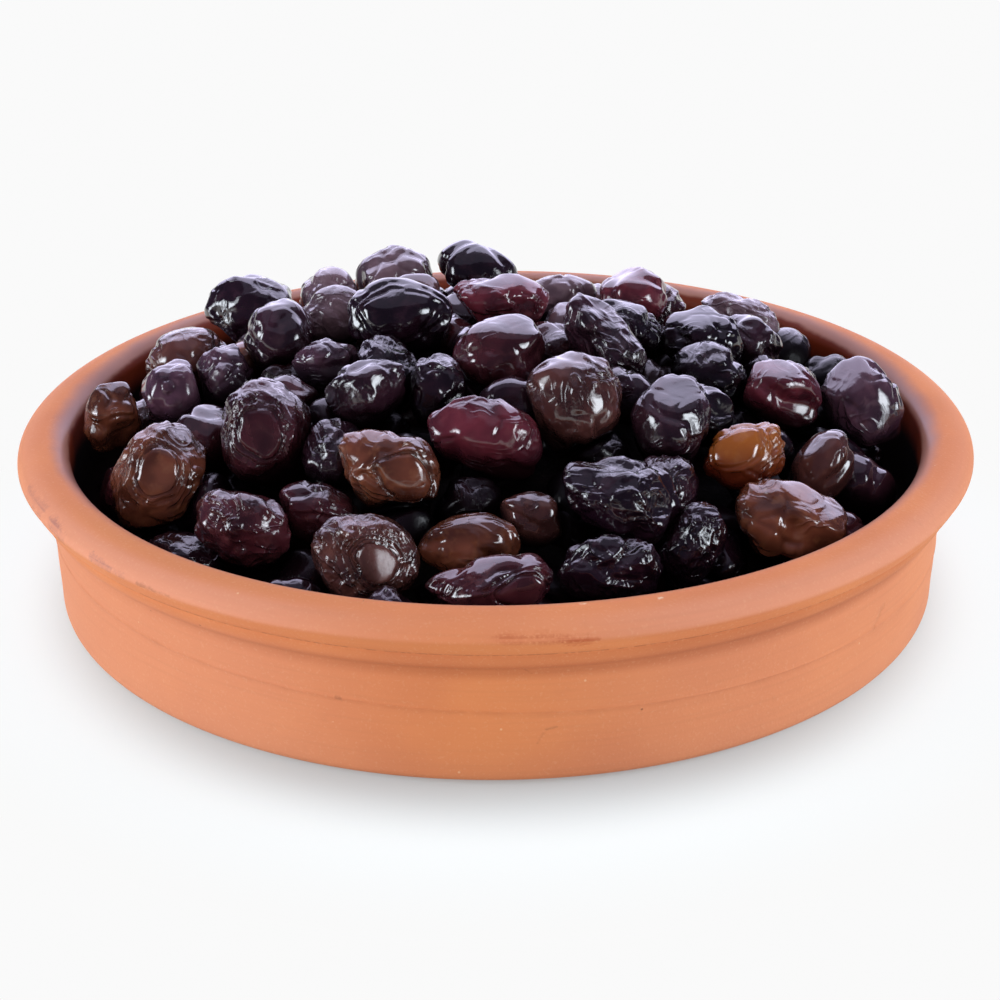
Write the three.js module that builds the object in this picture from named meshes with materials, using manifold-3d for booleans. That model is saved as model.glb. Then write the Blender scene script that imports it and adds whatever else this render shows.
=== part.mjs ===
// A shallow round clay dish, heaped with wrinkled black and brown table olives.
// Millimetres, +Z up. The origin is the centre of the dish's foot, and -Y is the front.

import * as THREE from "three";
import { mergeVertices } from "three/addons/utils/BufferGeometryUtils.js";
import Module from "manifold-3d";

const wasm = await Module();
wasm.setup();

// ---------------------------------------------------------------- driving dimensions

// The dish, from the foot up.
const RIM_RADIUS = 90; // over the rolled rim
const DISH_HEIGHT = 31.7; // foot to the top of the roll
const ROLL_OUT = 5.8; // from the top of the roll out to its widest
const ROLL_DROP = 3.3; // from the top of the roll down to its widest
const ROLL_IN = 2.3; // from the top of the roll in to the mouth
const LIP_RADIUS = 87.9; // lower edge of the band under the roll
const LIP_Z = 25.4;
const NECK_RADIUS = 85.2; // where the roll meets the wall
const NECK_Z = 21.6;
const WAIST_RADIUS = 84.4; // half-way down the wall
const FOOT_RADIUS = 84.1;
const FOOT_CORNER = 2.8;
const INNER_WAIST_RADIUS = 80.2; // inside, half-way down
const FLOOR_Z = 6.2; // top of the dish's floor
const FLOOR_CORNER = 9; // inside corner between floor and wall
const DISH_SEGMENTS = 60; // a multiple of 4, so that the box is centred

// The heap. Its olives are laid in a dish that they stay clear of.
const GAP = 0.4; // between the heap and the dish
const CORE_SEGMENTS = 24;
const CORE_EDGE_Z = 15; // where the core meets the wall
const CORE_EDGE_RADIUS = 78;
const SHELF_Z = 21; // the level that the core reaches all round
const SHELF_RADIUS = 70;
const DOME_TOP_Z = 42; // on it the core is heaped up in an oval dome
const DOME_ACROSS = 76; // half its width
const DOME_DEEP = 62; // half its depth
const DOME_BACK = 4; // how far behind the middle its top lies
const DOME_STEEPNESS = 3;
const LARGE_OLIVE = 19.2; // from this length on an olive has 180 faces, and below it 80
const FACET_SWELL = 0.18; // makes up for what the flat faces cut off

// What makes one olive unlike the next.
const THINNEST = 0.86; // thickness over width
const MOST_TAPER = 0.14;
const MOST_BEND = 0.12;
const FLATS = 3; // sides pressed flat by neighbours
const FLAT_NEAREST = 0.8; // depth of a flat, where 1 is the unpressed skin
const FLAT_RANGE = 0.16;
const PRESS_SHARPNESS = 12;

// The olives on top, laid by hand: the centre, the length and the width, then the turn of
// the long axis about Z from +X and its lean above the level, in degrees.
const LAID = [
  // along the left rim
  { at: [-73, -1, 31], long: 14, wide: 12, turn: 65, lean: 65 },
  { at: [-62, 2, 34], long: 14.5, wide: 13.5, turn: 5, lean: 10 },
  { at: [-52, 6, 36], long: 14, wide: 12.5, turn: 35, lean: 50 },
  { at: [-62, 20, 34], long: 16.5, wide: 15, turn: 10, lean: 20 },
  { at: [-60, -29, 30], long: 20.5, wide: 17, turn: 35, lean: 50 },
  // at the back on the left
  { at: [-50, 37, 39], long: 20, wide: 16, turn: 175, lean: 10 },
  { at: [-42, 12, 41], long: 17, wide: 15.5, turn: 65, lean: 65 },
  { at: [-35, 39, 40], long: 15.5, wide: 13.5, turn: 35, lean: 50 },
  { at: [-21, 44, 43], long: 17.5, wide: 14.5, turn: 5, lean: 15 },
  { at: [-46, 30, 32], long: 16, wide: 14, turn: 80, lean: 20 },
  // the crown of the heap, and what carries its back
  { at: [-18, 10, 46], long: 21, wide: 16.5, turn: 0, lean: 5 },
  { at: [1, 17, 47], long: 20.5, wide: 13, turn: 180, lean: 5 },
  { at: [-4, 43, 45], long: 17.5, wide: 13.5, turn: 175, lean: 10 },
  { at: [-12, 41, 36], long: 17, wide: 14, turn: 20, lean: 10 },
  { at: [1, -8, 45], long: 18.5, wide: 16, turn: 15, lean: 25 },
  { at: [-11, -16, 41], long: 14.5, wide: 12.5, turn: 35, lean: 50 },
  { at: [-23, -19, 42], long: 17, wide: 13.5, turn: 15, lean: 25 },
  { at: [-32, 2, 40], long: 14, wide: 12, turn: 0, lean: 0 },
  { at: [14, -25, 42], long: 19.5, wide: 17.5, turn: 110, lean: 65 },
  { at: [21, -2, 45], long: 22, wide: 13.5, turn: 145, lean: 50 },
  { at: [13, 31, 43], long: 15, wide: 11.5, turn: 180, lean: 0 },
  { at: [28, 29, 43], long: 15, wide: 14.5, turn: 90, lean: 65 },
  // at the back on the right
  { at: [40, 13, 40], long: 17, wide: 15, turn: 170, lean: 20 },
  { at: [50, 35, 37], long: 18.5, wide: 12, turn: 170, lean: 20 },
  // along the right rim
  { at: [54, -5, 36], long: 16.5, wide: 13.5, turn: 170, lean: 25 },
  { at: [70, -1, 32], long: 19.5, wide: 16, turn: 130, lean: 60 },
  { at: [59, -26, 30], long: 14.5, wide: 12, turn: 35, lean: 50 },
  { at: [51, -44, 28], long: 20, wide: 15.5, turn: 175, lean: 10 },
  // down the front of the heap
  { at: [-41, -24, 36], long: 21, wide: 18, turn: 130, lean: 60 },
  { at: [-18, -40, 36], long: 20, wide: 16, turn: 165, lean: 30 },
  { at: [-2, -33, 39], long: 21.5, wide: 14, turn: 175, lean: 15 },
  { at: [31, -26, 38], long: 20, wide: 15, turn: 50, lean: 60 },
  { at: [44, -30, 34], long: 15.5, wide: 14, turn: 10, lean: 20 },
  { at: [21, -48, 34], long: 23, wide: 15.5, turn: 170, lean: 15 },
  // along the front rim
  { at: [-43, -47, 28], long: 19, wide: 14.5, turn: 165, lean: 25 },
  { at: [-31, -42, 29], long: 15.5, wide: 11.5, turn: 175, lean: 10 },
  { at: [-22, -57, 27], long: 18.5, wide: 15.5, turn: 165, lean: 30 },
  { at: [-4, -53, 28], long: 18.5, wide: 11, turn: 0, lean: 5 },
  { at: [-1, -65, 26], long: 21, wide: 11.5, turn: 0, lean: 5 },
  { at: [6, -47, 30], long: 13.5, wide: 10.5, turn: 175, lean: 10 },
  { at: [19, -59, 26], long: 17.5, wide: 12, turn: 0, lean: 5 },
  { at: [33, -51, 26], long: 15.5, wide: 11.5, turn: 50, lean: 60 },
];

// The rest lies in rings, from the wall inwards, wherever there is room: level with the
// laid olives at the back, and deeper in the gaps between them at the front.
const RING_OUTERMOST = 69;
const RING_STEP = 7;
const RING_TRIES = 48; // places tried round each ring
const RING_ROOM = 12.5; // least distance to an olive already in place
const RING_BACK_Y = 8;
const RING_BACK_RISE = 3; // from the core up to their centres
const RING_FRONT_RISE = -1.5;
const RING_LONG = 16.5;
const RING_WIDE = 13.5;
const RING_SPREAD = 0.12; // share by which these sizes differ
const RING_LEAN = 30; // greatest lean, in degrees
const RING_SEED = 7;

// ---------------------------------------------------------------- colours

const clay = new THREE.MeshStandardMaterial({ color: 0xd9885f, roughness: 0.85, metalness: 0 });
const oliveSkin = new THREE.MeshStandardMaterial({ color: 0x2a1518, roughness: 0.25, metalness: 0 });

// ---------------------------------------------------------------- helpers

// A repeatable series of numbers between 0 and 1.
function makeDraws(seed) {
  let state = (seed * 2654435761) >>> 0;
  return () => {
    state = (Math.imul(state, 1664525) + 1013904223) >>> 0;
    return state / 2 ** 32;
  };
}

// Points on a quarter of an ellipse, from one angle to another in degrees.
function arc(centreRadius, centreZ, sizeRadius, sizeZ, from, to, steps) {
  const points = [];
  for (let step = 0; step <= steps; step += 1) {
    const angle = THREE.MathUtils.degToRad(from + ((to - from) * step) / steps);
    const radius = centreRadius + sizeRadius * Math.cos(angle);
    points.push(new THREE.Vector2(radius, centreZ + sizeZ * Math.sin(angle)));
  }
  return points;
}

// A profile of (radius, z) points turned about Z.
function turned(profile, segments) {
  const geometry = new THREE.LatheGeometry(profile, segments);
  geometry.rotateX(Math.PI / 2); // a lathe turns about Y
  return geometry;
}

// A closed three.js geometry as a solid that can be joined.
function toSolid(geometry) {
  const bare = geometry.clone();
  bare.deleteAttribute("normal");
  bare.deleteAttribute("uv");
  const merged = mergeVertices(bare);
  return new wasm.Manifold(
    new wasm.Mesh({
      numProp: 3,
      vertProperties: merged.attributes.position.array,
      triVerts: new Uint32Array(merged.index.array),
    }),
  );
}

// A joined solid as a flat-shaded three.js geometry.
function toGeometry(solid) {
  const { vertProperties, triVerts } = solid.getMesh();
  const geometry = new THREE.BufferGeometry();
  geometry.setAttribute("position", new THREE.BufferAttribute(vertProperties, 3));
  geometry.setIndex(new THREE.BufferAttribute(triVerts, 1));
  const flat = geometry.toNonIndexed();
  flat.computeVertexNormals();
  return flat;
}

// ---------------------------------------------------------------- the dish

// The section of the dish: up the outside, over the rolled rim, down the inside.
function dishProfile() {
  const rollRadius = RIM_RADIUS - ROLL_OUT;
  const rollZ = DISH_HEIGHT - ROLL_DROP;
  const mouthRadius = rollRadius - ROLL_IN;
  const waistZ = (FOOT_CORNER + NECK_Z) / 2;
  return [
    new THREE.Vector2(0, 0),
    ...arc(FOOT_RADIUS - FOOT_CORNER, FOOT_CORNER, FOOT_CORNER, FOOT_CORNER, -90, 0, 3),
    new THREE.Vector2(WAIST_RADIUS, waistZ),
    new THREE.Vector2(NECK_RADIUS, NECK_Z),
    new THREE.Vector2((NECK_RADIUS + LIP_RADIUS) / 2, (NECK_Z + LIP_Z) / 2 - 0.6),
    new THREE.Vector2(LIP_RADIUS, LIP_Z),
    ...arc(rollRadius, rollZ, ROLL_OUT, ROLL_DROP, 0, 90, 4),
    ...arc(rollRadius, rollZ, ROLL_IN, ROLL_DROP, 120, 180, 2),
    new THREE.Vector2((mouthRadius + INNER_WAIST_RADIUS) / 2, (rollZ + waistZ) / 2),
    ...arc(
      INNER_WAIST_RADIUS - FLOOR_CORNER,
      FLOOR_Z + FLOOR_CORNER,
      FLOOR_CORNER,
      FLOOR_CORNER,
      0,
      -90,
      3,
    ),
    new THREE.Vector2(0, FLOOR_Z),
  ];
}

// ---------------------------------------------------------------- the olives

// The draws that make one olive its own.
function oliveShape(olive, seed) {
  const draw = makeDraws(seed);
  const flats = Array.from({ length: FLATS }, () => {
    const height = 2 * draw() - 1;
    const angle = 2 * Math.PI * draw();
    const across = Math.sqrt(1 - height ** 2);
    const facing = new THREE.Vector3(across * Math.cos(angle), across * Math.sin(angle), height);
    return { facing, depth: FLAT_NEAREST + FLAT_RANGE * draw() };
  });
  return {
    flats,
    thick: olive.wide * (THINNEST + (1 - THINNEST) * draw()),
    taper: MOST_TAPER * (2 * draw() - 1),
    bend: MOST_BEND * (2 * draw() - 1),
    roll: 2 * Math.PI * draw(),
  };
}

// One olive's surface point in a direction from its middle, the long axis along X.
function olivePoint(direction, olive, shape) {
  let press = 1;
  for (const { facing, depth } of shape.flats) {
    press += Math.max(0, direction.dot(facing) / depth) ** PRESS_SHARPNESS;
  }
  const reach = press ** (-1 / PRESS_SHARPNESS);
  const along = direction.x * reach;
  const girth = reach * (1 - shape.taper * along);
  const lift = shape.bend * (along ** 2 - 1 / 3);
  return new THREE.Vector3(
    (olive.long / 2) * along,
    (olive.wide / 2) * (direction.y * girth + lift),
    (shape.thick / 2) * direction.z * girth,
  );
}

// One olive as a solid, turned and set in its place in the heap.
function oliveSolid(olive, seed) {
  const shape = oliveShape(olive, seed);
  const detail = olive.long < LARGE_OLIVE ? 1 : 2;
  const geometry = new THREE.IcosahedronGeometry(1, detail);
  const position = geometry.getAttribute("position");
  const swell = 1 + FACET_SWELL / (detail + 1) ** 2;
  const direction = new THREE.Vector3();
  for (let index = 0; index < position.count; index += 1) {
    direction.fromBufferAttribute(position, index).normalize();
    const point = olivePoint(direction, olive, shape).multiplyScalar(swell);
    position.setXYZ(index, point.x, point.y, point.z);
  }
  const degrees = THREE.MathUtils.degToRad;
  geometry.rotateX(shape.roll);
  geometry.rotateY(-degrees(olive.lean));
  geometry.rotateZ(degrees(olive.turn));
  geometry.translate(...olive.at);
  return toSolid(geometry);
}

// The dome's height at a share of the way out from its middle.
function domeZ(share) {
  return DOME_TOP_Z - (DOME_TOP_Z - SHELF_Z) * share ** DOME_STEEPNESS;
}

// The core's height under a place in the heap.
function coreZ(x, y) {
  const share = Math.hypot(x / DOME_ACROSS, (y - DOME_BACK) / DOME_DEEP);
  return domeZ(Math.min(share, 1));
}

// The olives of the rings, each put where it has room.
function ringOlives() {
  const draw = makeDraws(RING_SEED);
  const placed = [];
  for (let radius = RING_OUTERMOST; radius > 0; radius -= RING_STEP) {
    for (let attempt = 0; attempt < RING_TRIES; attempt += 1) {
      const angle = (2 * Math.PI * attempt) / RING_TRIES;
      const [x, y] = [radius * Math.cos(angle), radius * Math.sin(angle)];
      const at = [x, y, coreZ(x, y) + (y > RING_BACK_Y ? RING_BACK_RISE : RING_FRONT_RISE)];
      const centre = new THREE.Vector3(...at);
      const roomy = [...LAID, ...placed].every(
        (other) => centre.distanceTo(new THREE.Vector3(...other.at)) > RING_ROOM,
      );
      if (roomy) {
        const size = 1 + RING_SPREAD * (2 * draw() - 1);
        const long = RING_LONG * size;
        const wide = RING_WIDE * size;
        placed.push({ at, long, wide, turn: 360 * draw(), lean: RING_LEAN * draw() });
      }
    }
  }
  return placed;
}

// The unseen middle of the heap, which carries the olives on top.
function coreSolid() {
  const wallRadius = INNER_WAIST_RADIUS - GAP;
  const floorZ = FLOOR_Z + GAP;
  const corner = FLOOR_CORNER + 1; // rounder than the dish's, so that their facets stay clear
  const shelf = [
    new THREE.Vector2(0, floorZ),
    ...arc(wallRadius - corner, floorZ + corner, corner, corner, -90, -20, 3),
    new THREE.Vector2(CORE_EDGE_RADIUS, CORE_EDGE_Z),
    new THREE.Vector2(SHELF_RADIUS, SHELF_Z),
    new THREE.Vector2(0, SHELF_Z),
  ];
  const dome = [new THREE.Vector2(0, CORE_EDGE_Z), new THREE.Vector2(1, CORE_EDGE_Z)];
  for (const share of [1, 0.9, 0.75, 0.5, 0]) {
    dome.push(new THREE.Vector2(share, domeZ(share)));
  }
  const heaped = turned(dome, CORE_SEGMENTS)
    .scale(DOME_ACROSS, DOME_DEEP, 1)
    .translate(0, DOME_BACK, 0);
  return toSolid(turned(shelf, CORE_SEGMENTS)).add(toSolid(heaped));
}

// The whole heap as one solid.
function heapSolid() {
  const olives = [...LAID, ...ringOlives()];
  const solids = olives.map((olive, index) => oliveSolid(olive, index + 1));
  return solids.reduce((heap, solid) => heap.add(solid), coreSolid());
}

// ---------------------------------------------------------------- the part

const dish = new THREE.Mesh(turned(dishProfile(), DISH_SEGMENTS), clay);
dish.name = "dish";

const olives = new THREE.Mesh(toGeometry(heapSolid()), oliveSkin);
olives.name = "olives";

const dishOfOlives = new THREE.Group();
dishOfOlives.add(dish, olives);

export default dishOfOlives;
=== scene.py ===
"""A shallow round clay dish, heaped with glossy wrinkled black and brown table olives.

Metres, +Z up, the foot's centre at the origin and the front towards -Y. Sizes of the dish and
the olives are written in millimetres, as a potter or a grower would give them, and turned into
metres where a mesh is made.
"""

import logging
import math
from dataclasses import dataclass, field, fields
from enum import Enum

import bpy
import numpy as np
from mathutils import Matrix, Vector

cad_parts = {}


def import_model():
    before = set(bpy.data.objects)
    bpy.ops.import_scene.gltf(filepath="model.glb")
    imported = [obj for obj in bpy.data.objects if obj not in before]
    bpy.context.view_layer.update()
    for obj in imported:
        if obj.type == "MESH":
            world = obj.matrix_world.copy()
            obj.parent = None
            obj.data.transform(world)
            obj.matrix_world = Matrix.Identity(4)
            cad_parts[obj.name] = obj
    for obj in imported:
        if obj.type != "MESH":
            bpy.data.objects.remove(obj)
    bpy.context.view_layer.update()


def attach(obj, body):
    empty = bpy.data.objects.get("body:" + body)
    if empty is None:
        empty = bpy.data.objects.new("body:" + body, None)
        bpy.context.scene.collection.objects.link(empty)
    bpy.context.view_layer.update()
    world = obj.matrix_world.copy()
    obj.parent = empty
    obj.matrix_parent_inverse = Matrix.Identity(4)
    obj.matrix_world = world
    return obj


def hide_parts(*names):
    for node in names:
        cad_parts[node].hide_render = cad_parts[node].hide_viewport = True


MM = 0.001
BODY = "root"

log = logging.getLogger("dish_of_olives")

Colour = tuple[float, float, float]

WHITE: Colour = (1.0, 1.0, 1.0)


def dimmed(colour: Colour, share: float) -> Colour:
    """A colour at a share of its brightness."""
    return tuple(share * part for part in colour)


# -------------------------------------------------------------------------- node trees


class Value:
    """One output of a node, for use in expressions that add their own maths nodes."""

    def __init__(self, tree: "Tree", socket: bpy.types.NodeSocket) -> None:
        """Wrap an output.

        Args:
            tree: the tree that the node is in.
            socket: the output.
        """
        self.tree = tree
        self.socket = socket

    def _combine(self, operation: str, *operands: "float | Value") -> "Value":
        """Add a Math node, or a Vector Math node where an operand is a vector.

        Args:
            operation: the node's operation.
            operands: numbers or values, in the order of the node's inputs.

        Returns:
            The node's result.
        """
        vectors = any(isinstance(one, Value) and one.socket.type == "VECTOR" for one in operands)
        kind = "ShaderNodeVectorMath" if vectors else "ShaderNodeMath"
        return self.tree.node(kind, {"operation": operation}, dict(enumerate(operands)))

    def __add__(self, other: "float | Value") -> "Value":
        """Add."""
        return self._combine("ADD", self, other)

    def __radd__(self, other: float) -> "Value":
        """Add to a number."""
        return self._combine("ADD", other, self)

    def __sub__(self, other: "float | Value") -> "Value":
        """Subtract."""
        return self._combine("SUBTRACT", self, other)

    def __rsub__(self, other: float) -> "Value":
        """Subtract from a number."""
        return self._combine("SUBTRACT", other, self)

    def __mul__(self, other: "float | Value") -> "Value":
        """Multiply."""
        return self._combine("MULTIPLY", self, other)

    def __rmul__(self, other: float) -> "Value":
        """Multiply a number."""
        return self._combine("MULTIPLY", other, self)

    def __truediv__(self, other: "float | Value") -> "Value":
        """Divide."""
        return self._combine("DIVIDE", self, other)

    def __rtruediv__(self, other: float) -> "Value":
        """Divide a number."""
        return self._combine("DIVIDE", other, self)

    def __pow__(self, other: float) -> "Value":
        """Raise to a power."""
        return self._combine("POWER", self, other)

    def __abs__(self) -> "Value":
        """The size without the sign."""
        return self._combine("ABSOLUTE", self)

    def at_least(self, least: "float | Value") -> "Value":
        """The value, or a least one where it is lower."""
        return self._combine("MAXIMUM", self, least)

    def at_most(self, most: "float | Value") -> "Value":
        """The value, or a most one where it is higher."""
        return self._combine("MINIMUM", self, most)

    def ridges(self, spacing: float, thinness: float) -> "Value":
        """Thin parallel ridges from 0 to 1, one wherever the value grows by the spacing."""
        wave = self._combine("COSINE", self * (2 * math.pi / spacing))
        return (wave * 0.5 + 0.5) ** thinness

    def dot(self, other: "Value") -> "Value":
        """The dot product of two vectors."""
        settings = {"operation": "DOT_PRODUCT"}
        return self.tree.node("ShaderNodeVectorMath", settings, {0: self, 1: other}, "Value")

    def length(self) -> "Value":
        """A vector's length."""
        return self.tree.node("ShaderNodeVectorMath", {"operation": "LENGTH"}, {0: self}, "Value")

    def part(self, axis: str) -> "Value":
        """One of a vector's components, X, Y or Z."""
        return self.tree.node("ShaderNodeSeparateXYZ", {}, {0: self}, axis)

    def ramp(self, low: float, high: float) -> "Value":
        """0 up to the low value, 1 from the high one on, and a smooth rise between them."""
        inputs = {"Value": self, "From Min": low, "From Max": high}
        return self.tree.node("ShaderNodeMapRange", {"interpolation_type": "SMOOTHSTEP"}, inputs)


class Tree:
    """A node tree that is being built, of a material or of geometry nodes."""

    def __init__(self, tree: bpy.types.NodeTree) -> None:
        """Wrap a tree.

        Args:
            tree: the tree to add nodes to.
        """
        self.tree = tree

    def node(
        self,
        kind: str,
        settings: dict[str, object] | None = None,
        inputs: dict[str | int, object] | None = None,
        output: str | int = 0,
    ) -> Value:
        """Add a node of any kind.

        Args:
            kind: the node's type.
            settings: its properties, which are set first.
            inputs: a number, a tuple or a Value for each input, by name or place.
            output: the output to return, by name or place.

        Returns:
            That output.
        """
        made = self.tree.nodes.new(kind)
        for name, setting in (settings or {}).items():
            setattr(made, name, setting)
        for key, given in (inputs or {}).items():
            socket = made.inputs[key]
            if isinstance(given, Value):
                self.tree.links.new(given.socket, socket)
            elif socket.type == "VECTOR" and isinstance(given, (int, float)):
                socket.default_value = (given,) * 3
            elif socket.type == "RGBA":
                socket.default_value = (*given, 1.0)
            else:
                socket.default_value = given
        return Value(self, made.outputs[output])

    def vector(self, x: "float | Value", y: "float | Value", z: "float | Value") -> Value:
        """A vector of three parts."""
        return self.node("ShaderNodeCombineXYZ", {}, {0: x, 1: y, 2: z})

    def shining(self, kind: str, colour: "Colour | Value", strength: float) -> Value:
        """A shader that gives off light, of a node's type, a colour and a strength."""
        return self.node(kind, {}, {"Color": colour, "Strength": strength})

    def drawn_out(self, place: Value, share: float) -> Value:
        """A place with its X made smaller, so that a pattern read there is drawn out along X."""
        return self.vector(place.part("X") * share, place.part("Y"), place.part("Z"))

    def noise(self, place: Value, size: float, detail: float = 2.0) -> Value:
        """Smooth noise about one half.

        Args:
            place: where it is read, in millimetres.
            size: how far apart its lumps are, in millimetres.
            detail: how many finer layers it has.

        Returns:
            The noise, from 0 to 1.
        """
        inputs = {"Vector": place, "Scale": 1.0 / size, "Detail": detail}
        return self.node("ShaderNodeTexNoise", {}, inputs)

    def drift(self, place: Value, size: float, reach: float) -> Value:
        """A place, moved about by noise so that a pattern that is read there wanders.

        Args:
            place: the place, in millimetres.
            size: how far apart the wanderings are, in millimetres.
            reach: how far they go, in millimetres.

        Returns:
            The moved place.
        """
        inputs = {"Vector": place, "Scale": 1.0 / size, "Detail": 1.0}
        noise = self.node("ShaderNodeTexNoise", {}, inputs, "Color")
        settings = {"operation": "SUBTRACT"}
        astray = self.node("ShaderNodeVectorMath", settings, {0: noise, 1: 0.5})
        return place + astray * (2.0 * reach)

    def cells(self, place: Value, size: float, feature: str = "DISTANCE_TO_EDGE") -> Value:
        """Distance, in millimetres, in a pattern of cells.

        Args:
            place: where it is read, in millimetres.
            size: how large the cells are, in millimetres.
            feature: from the cells' edges, or from their middles with F1.

        Returns:
            The distance.
        """
        inputs = {"Vector": place, "Scale": 1.0 / size}
        return self.node("ShaderNodeTexVoronoi", {"feature": feature}, inputs, "Distance") * size


class MaterialTree(Tree):
    """A material's tree."""

    def __init__(self, name: str) -> None:
        """Start a material.

        Args:
            name: its name.
        """
        self.material = bpy.data.materials.new(name)
        self.material.use_nodes = True
        super().__init__(self.material.node_tree)
        self.tree.nodes.clear()

    def place(self) -> Value:
        """Where the surface is in the part's frame, in millimetres."""
        return self.node("ShaderNodeTexCoord", {}, {}, "Object") * (1.0 / MM)

    def attribute(self, name: str, output: str = "Fac") -> Value:
        """An attribute of the mesh, as a number or, by the output Vector, as a vector."""
        return self.node("ShaderNodeAttribute", {"attribute_name": name}, {}, output)

    def mix(
        self, share: "float | Value", first: "Colour | Value", second: "Colour | Value"
    ) -> Value:
        """A colour between two others.

        Args:
            share: how much of the second colour.
            first: a colour.
            second: another.

        Returns:
            The mixed colour.
        """
        inputs = {0: share, 6: first, 7: second}
        return self.node("ShaderNodeMix", {"data_type": "RGBA"}, inputs, 2)

    def bump(self, height: Value) -> Value:
        """The normal of a surface with fine relief.

        Args:
            height: the relief, in millimetres.

        Returns:
            The normal.
        """
        return self.node("ShaderNodeBump", {}, {"Distance": MM, "Height": height})

    def finish(self, shader: Value) -> bpy.types.Material:
        """Set the surface's shader.

        Args:
            shader: the shader.

        Returns:
            The material.
        """
        out = self.tree.nodes.new("ShaderNodeOutputMaterial")
        self.tree.links.new(shader.socket, out.inputs["Surface"])
        return self.material


class GeometryTree(Tree):
    """A tree of geometry nodes, with named inputs for its sizes."""

    def __init__(self, name: str, sizes: dict[str, tuple[str, object]]) -> None:
        """Start a tree.

        Args:
            name: its name.
            sizes: the kind of socket and the first value of each input, by name.
        """
        group = bpy.data.node_groups.new(name, "GeometryNodeTree")
        super().__init__(group)
        group.interface.new_socket("Geometry", in_out="INPUT", socket_type="NodeSocketGeometry")
        group.interface.new_socket("Geometry", in_out="OUTPUT", socket_type="NodeSocketGeometry")
        for label, (kind, first) in sizes.items():
            socket = group.interface.new_socket(label, in_out="INPUT", socket_type=kind)
            if first is not None:
                socket.default_value = first
        self.entry = group.nodes.new("NodeGroupInput")

    def given(self, name: str) -> Value:
        """One of the tree's inputs."""
        return Value(self, self.entry.outputs[name])

    def attribute(self, name: str, kind: str = "FLOAT") -> Value:
        """A named attribute, as a number or, by the kind FLOAT_VECTOR, as a vector."""
        settings = {"data_type": kind}
        return self.node("GeometryNodeInputNamedAttribute", settings, {"Name": name})

    def store(self, geometry: Value, name: str, value: Value, kind: str = "FLOAT") -> Value:
        """Keep a value on every vertex, under a name."""
        inputs = {"Geometry": geometry, "Name": name, "Value": value}
        return self.node("GeometryNodeStoreNamedAttribute", {"data_type": kind}, inputs)

    def finish(self, geometry: Value) -> None:
        """Set what the tree gives."""
        out = self.tree.nodes.new("NodeGroupOutput")
        self.tree.links.new(geometry.socket, out.inputs[0])

    def run(self, source: bpy.types.Object, sizes: dict[str, object]) -> bpy.types.Mesh:
        """Run the tree on an object as a modifier, and take the modifier off again.

        Args:
            source: the object that the tree starts from.
            sizes: the values of its inputs, by name.

        Returns:
            The result as a plain mesh.
        """
        modifier = source.modifiers.new(self.tree.name, "NODES")
        modifier.node_group = self.tree
        for item in self.tree.interface.items_tree:
            if item.item_type == "SOCKET" and item.in_out == "INPUT" and item.name in sizes:
                modifier[item.identifier] = sizes[item.name]
        depsgraph = bpy.context.evaluated_depsgraph_get()
        mesh = bpy.data.meshes.new_from_object(source.evaluated_get(depsgraph))
        source.modifiers.remove(modifier)
        return mesh


# -------------------------------------------------------------------------- finishes


class Tint(Enum):
    """What a mark on the clay is, by its colour."""

    DARK = (0.16, 0.05, 0.03)
    RED = (0.46, 0.09, 0.03)
    MAUVE = (0.24, 0.10, 0.12)
    PALE = (0.90, 0.66, 0.46)


@dataclass(frozen=True)
class Mark:
    """A scratch, speck or smudge on the clay. Sizes in millimetres, angles in degrees."""

    bearing: float  # round the dish, from the front towards the right
    level: float  # height above the foot's plane
    radius: float  # from the dish's axis
    length: float
    width: float
    slope: float  # up towards the right
    tint: Tint
    strength: float = 0.7
    depth: float = 0.0

    def end(self, side: int) -> Vector:
        """Where the mark starts, or ends.

        Args:
            side: -1 for its left end, 1 for its right end.

        Returns:
            The place, in millimetres.
        """
        slope = math.radians(self.slope)
        turn = math.radians(self.bearing) + side * self.length / 2 * math.cos(slope) / self.radius
        level = self.level + side * self.length / 2 * math.sin(slope)
        return Vector((self.radius * math.sin(turn), -self.radius * math.cos(turn), level))


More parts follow.
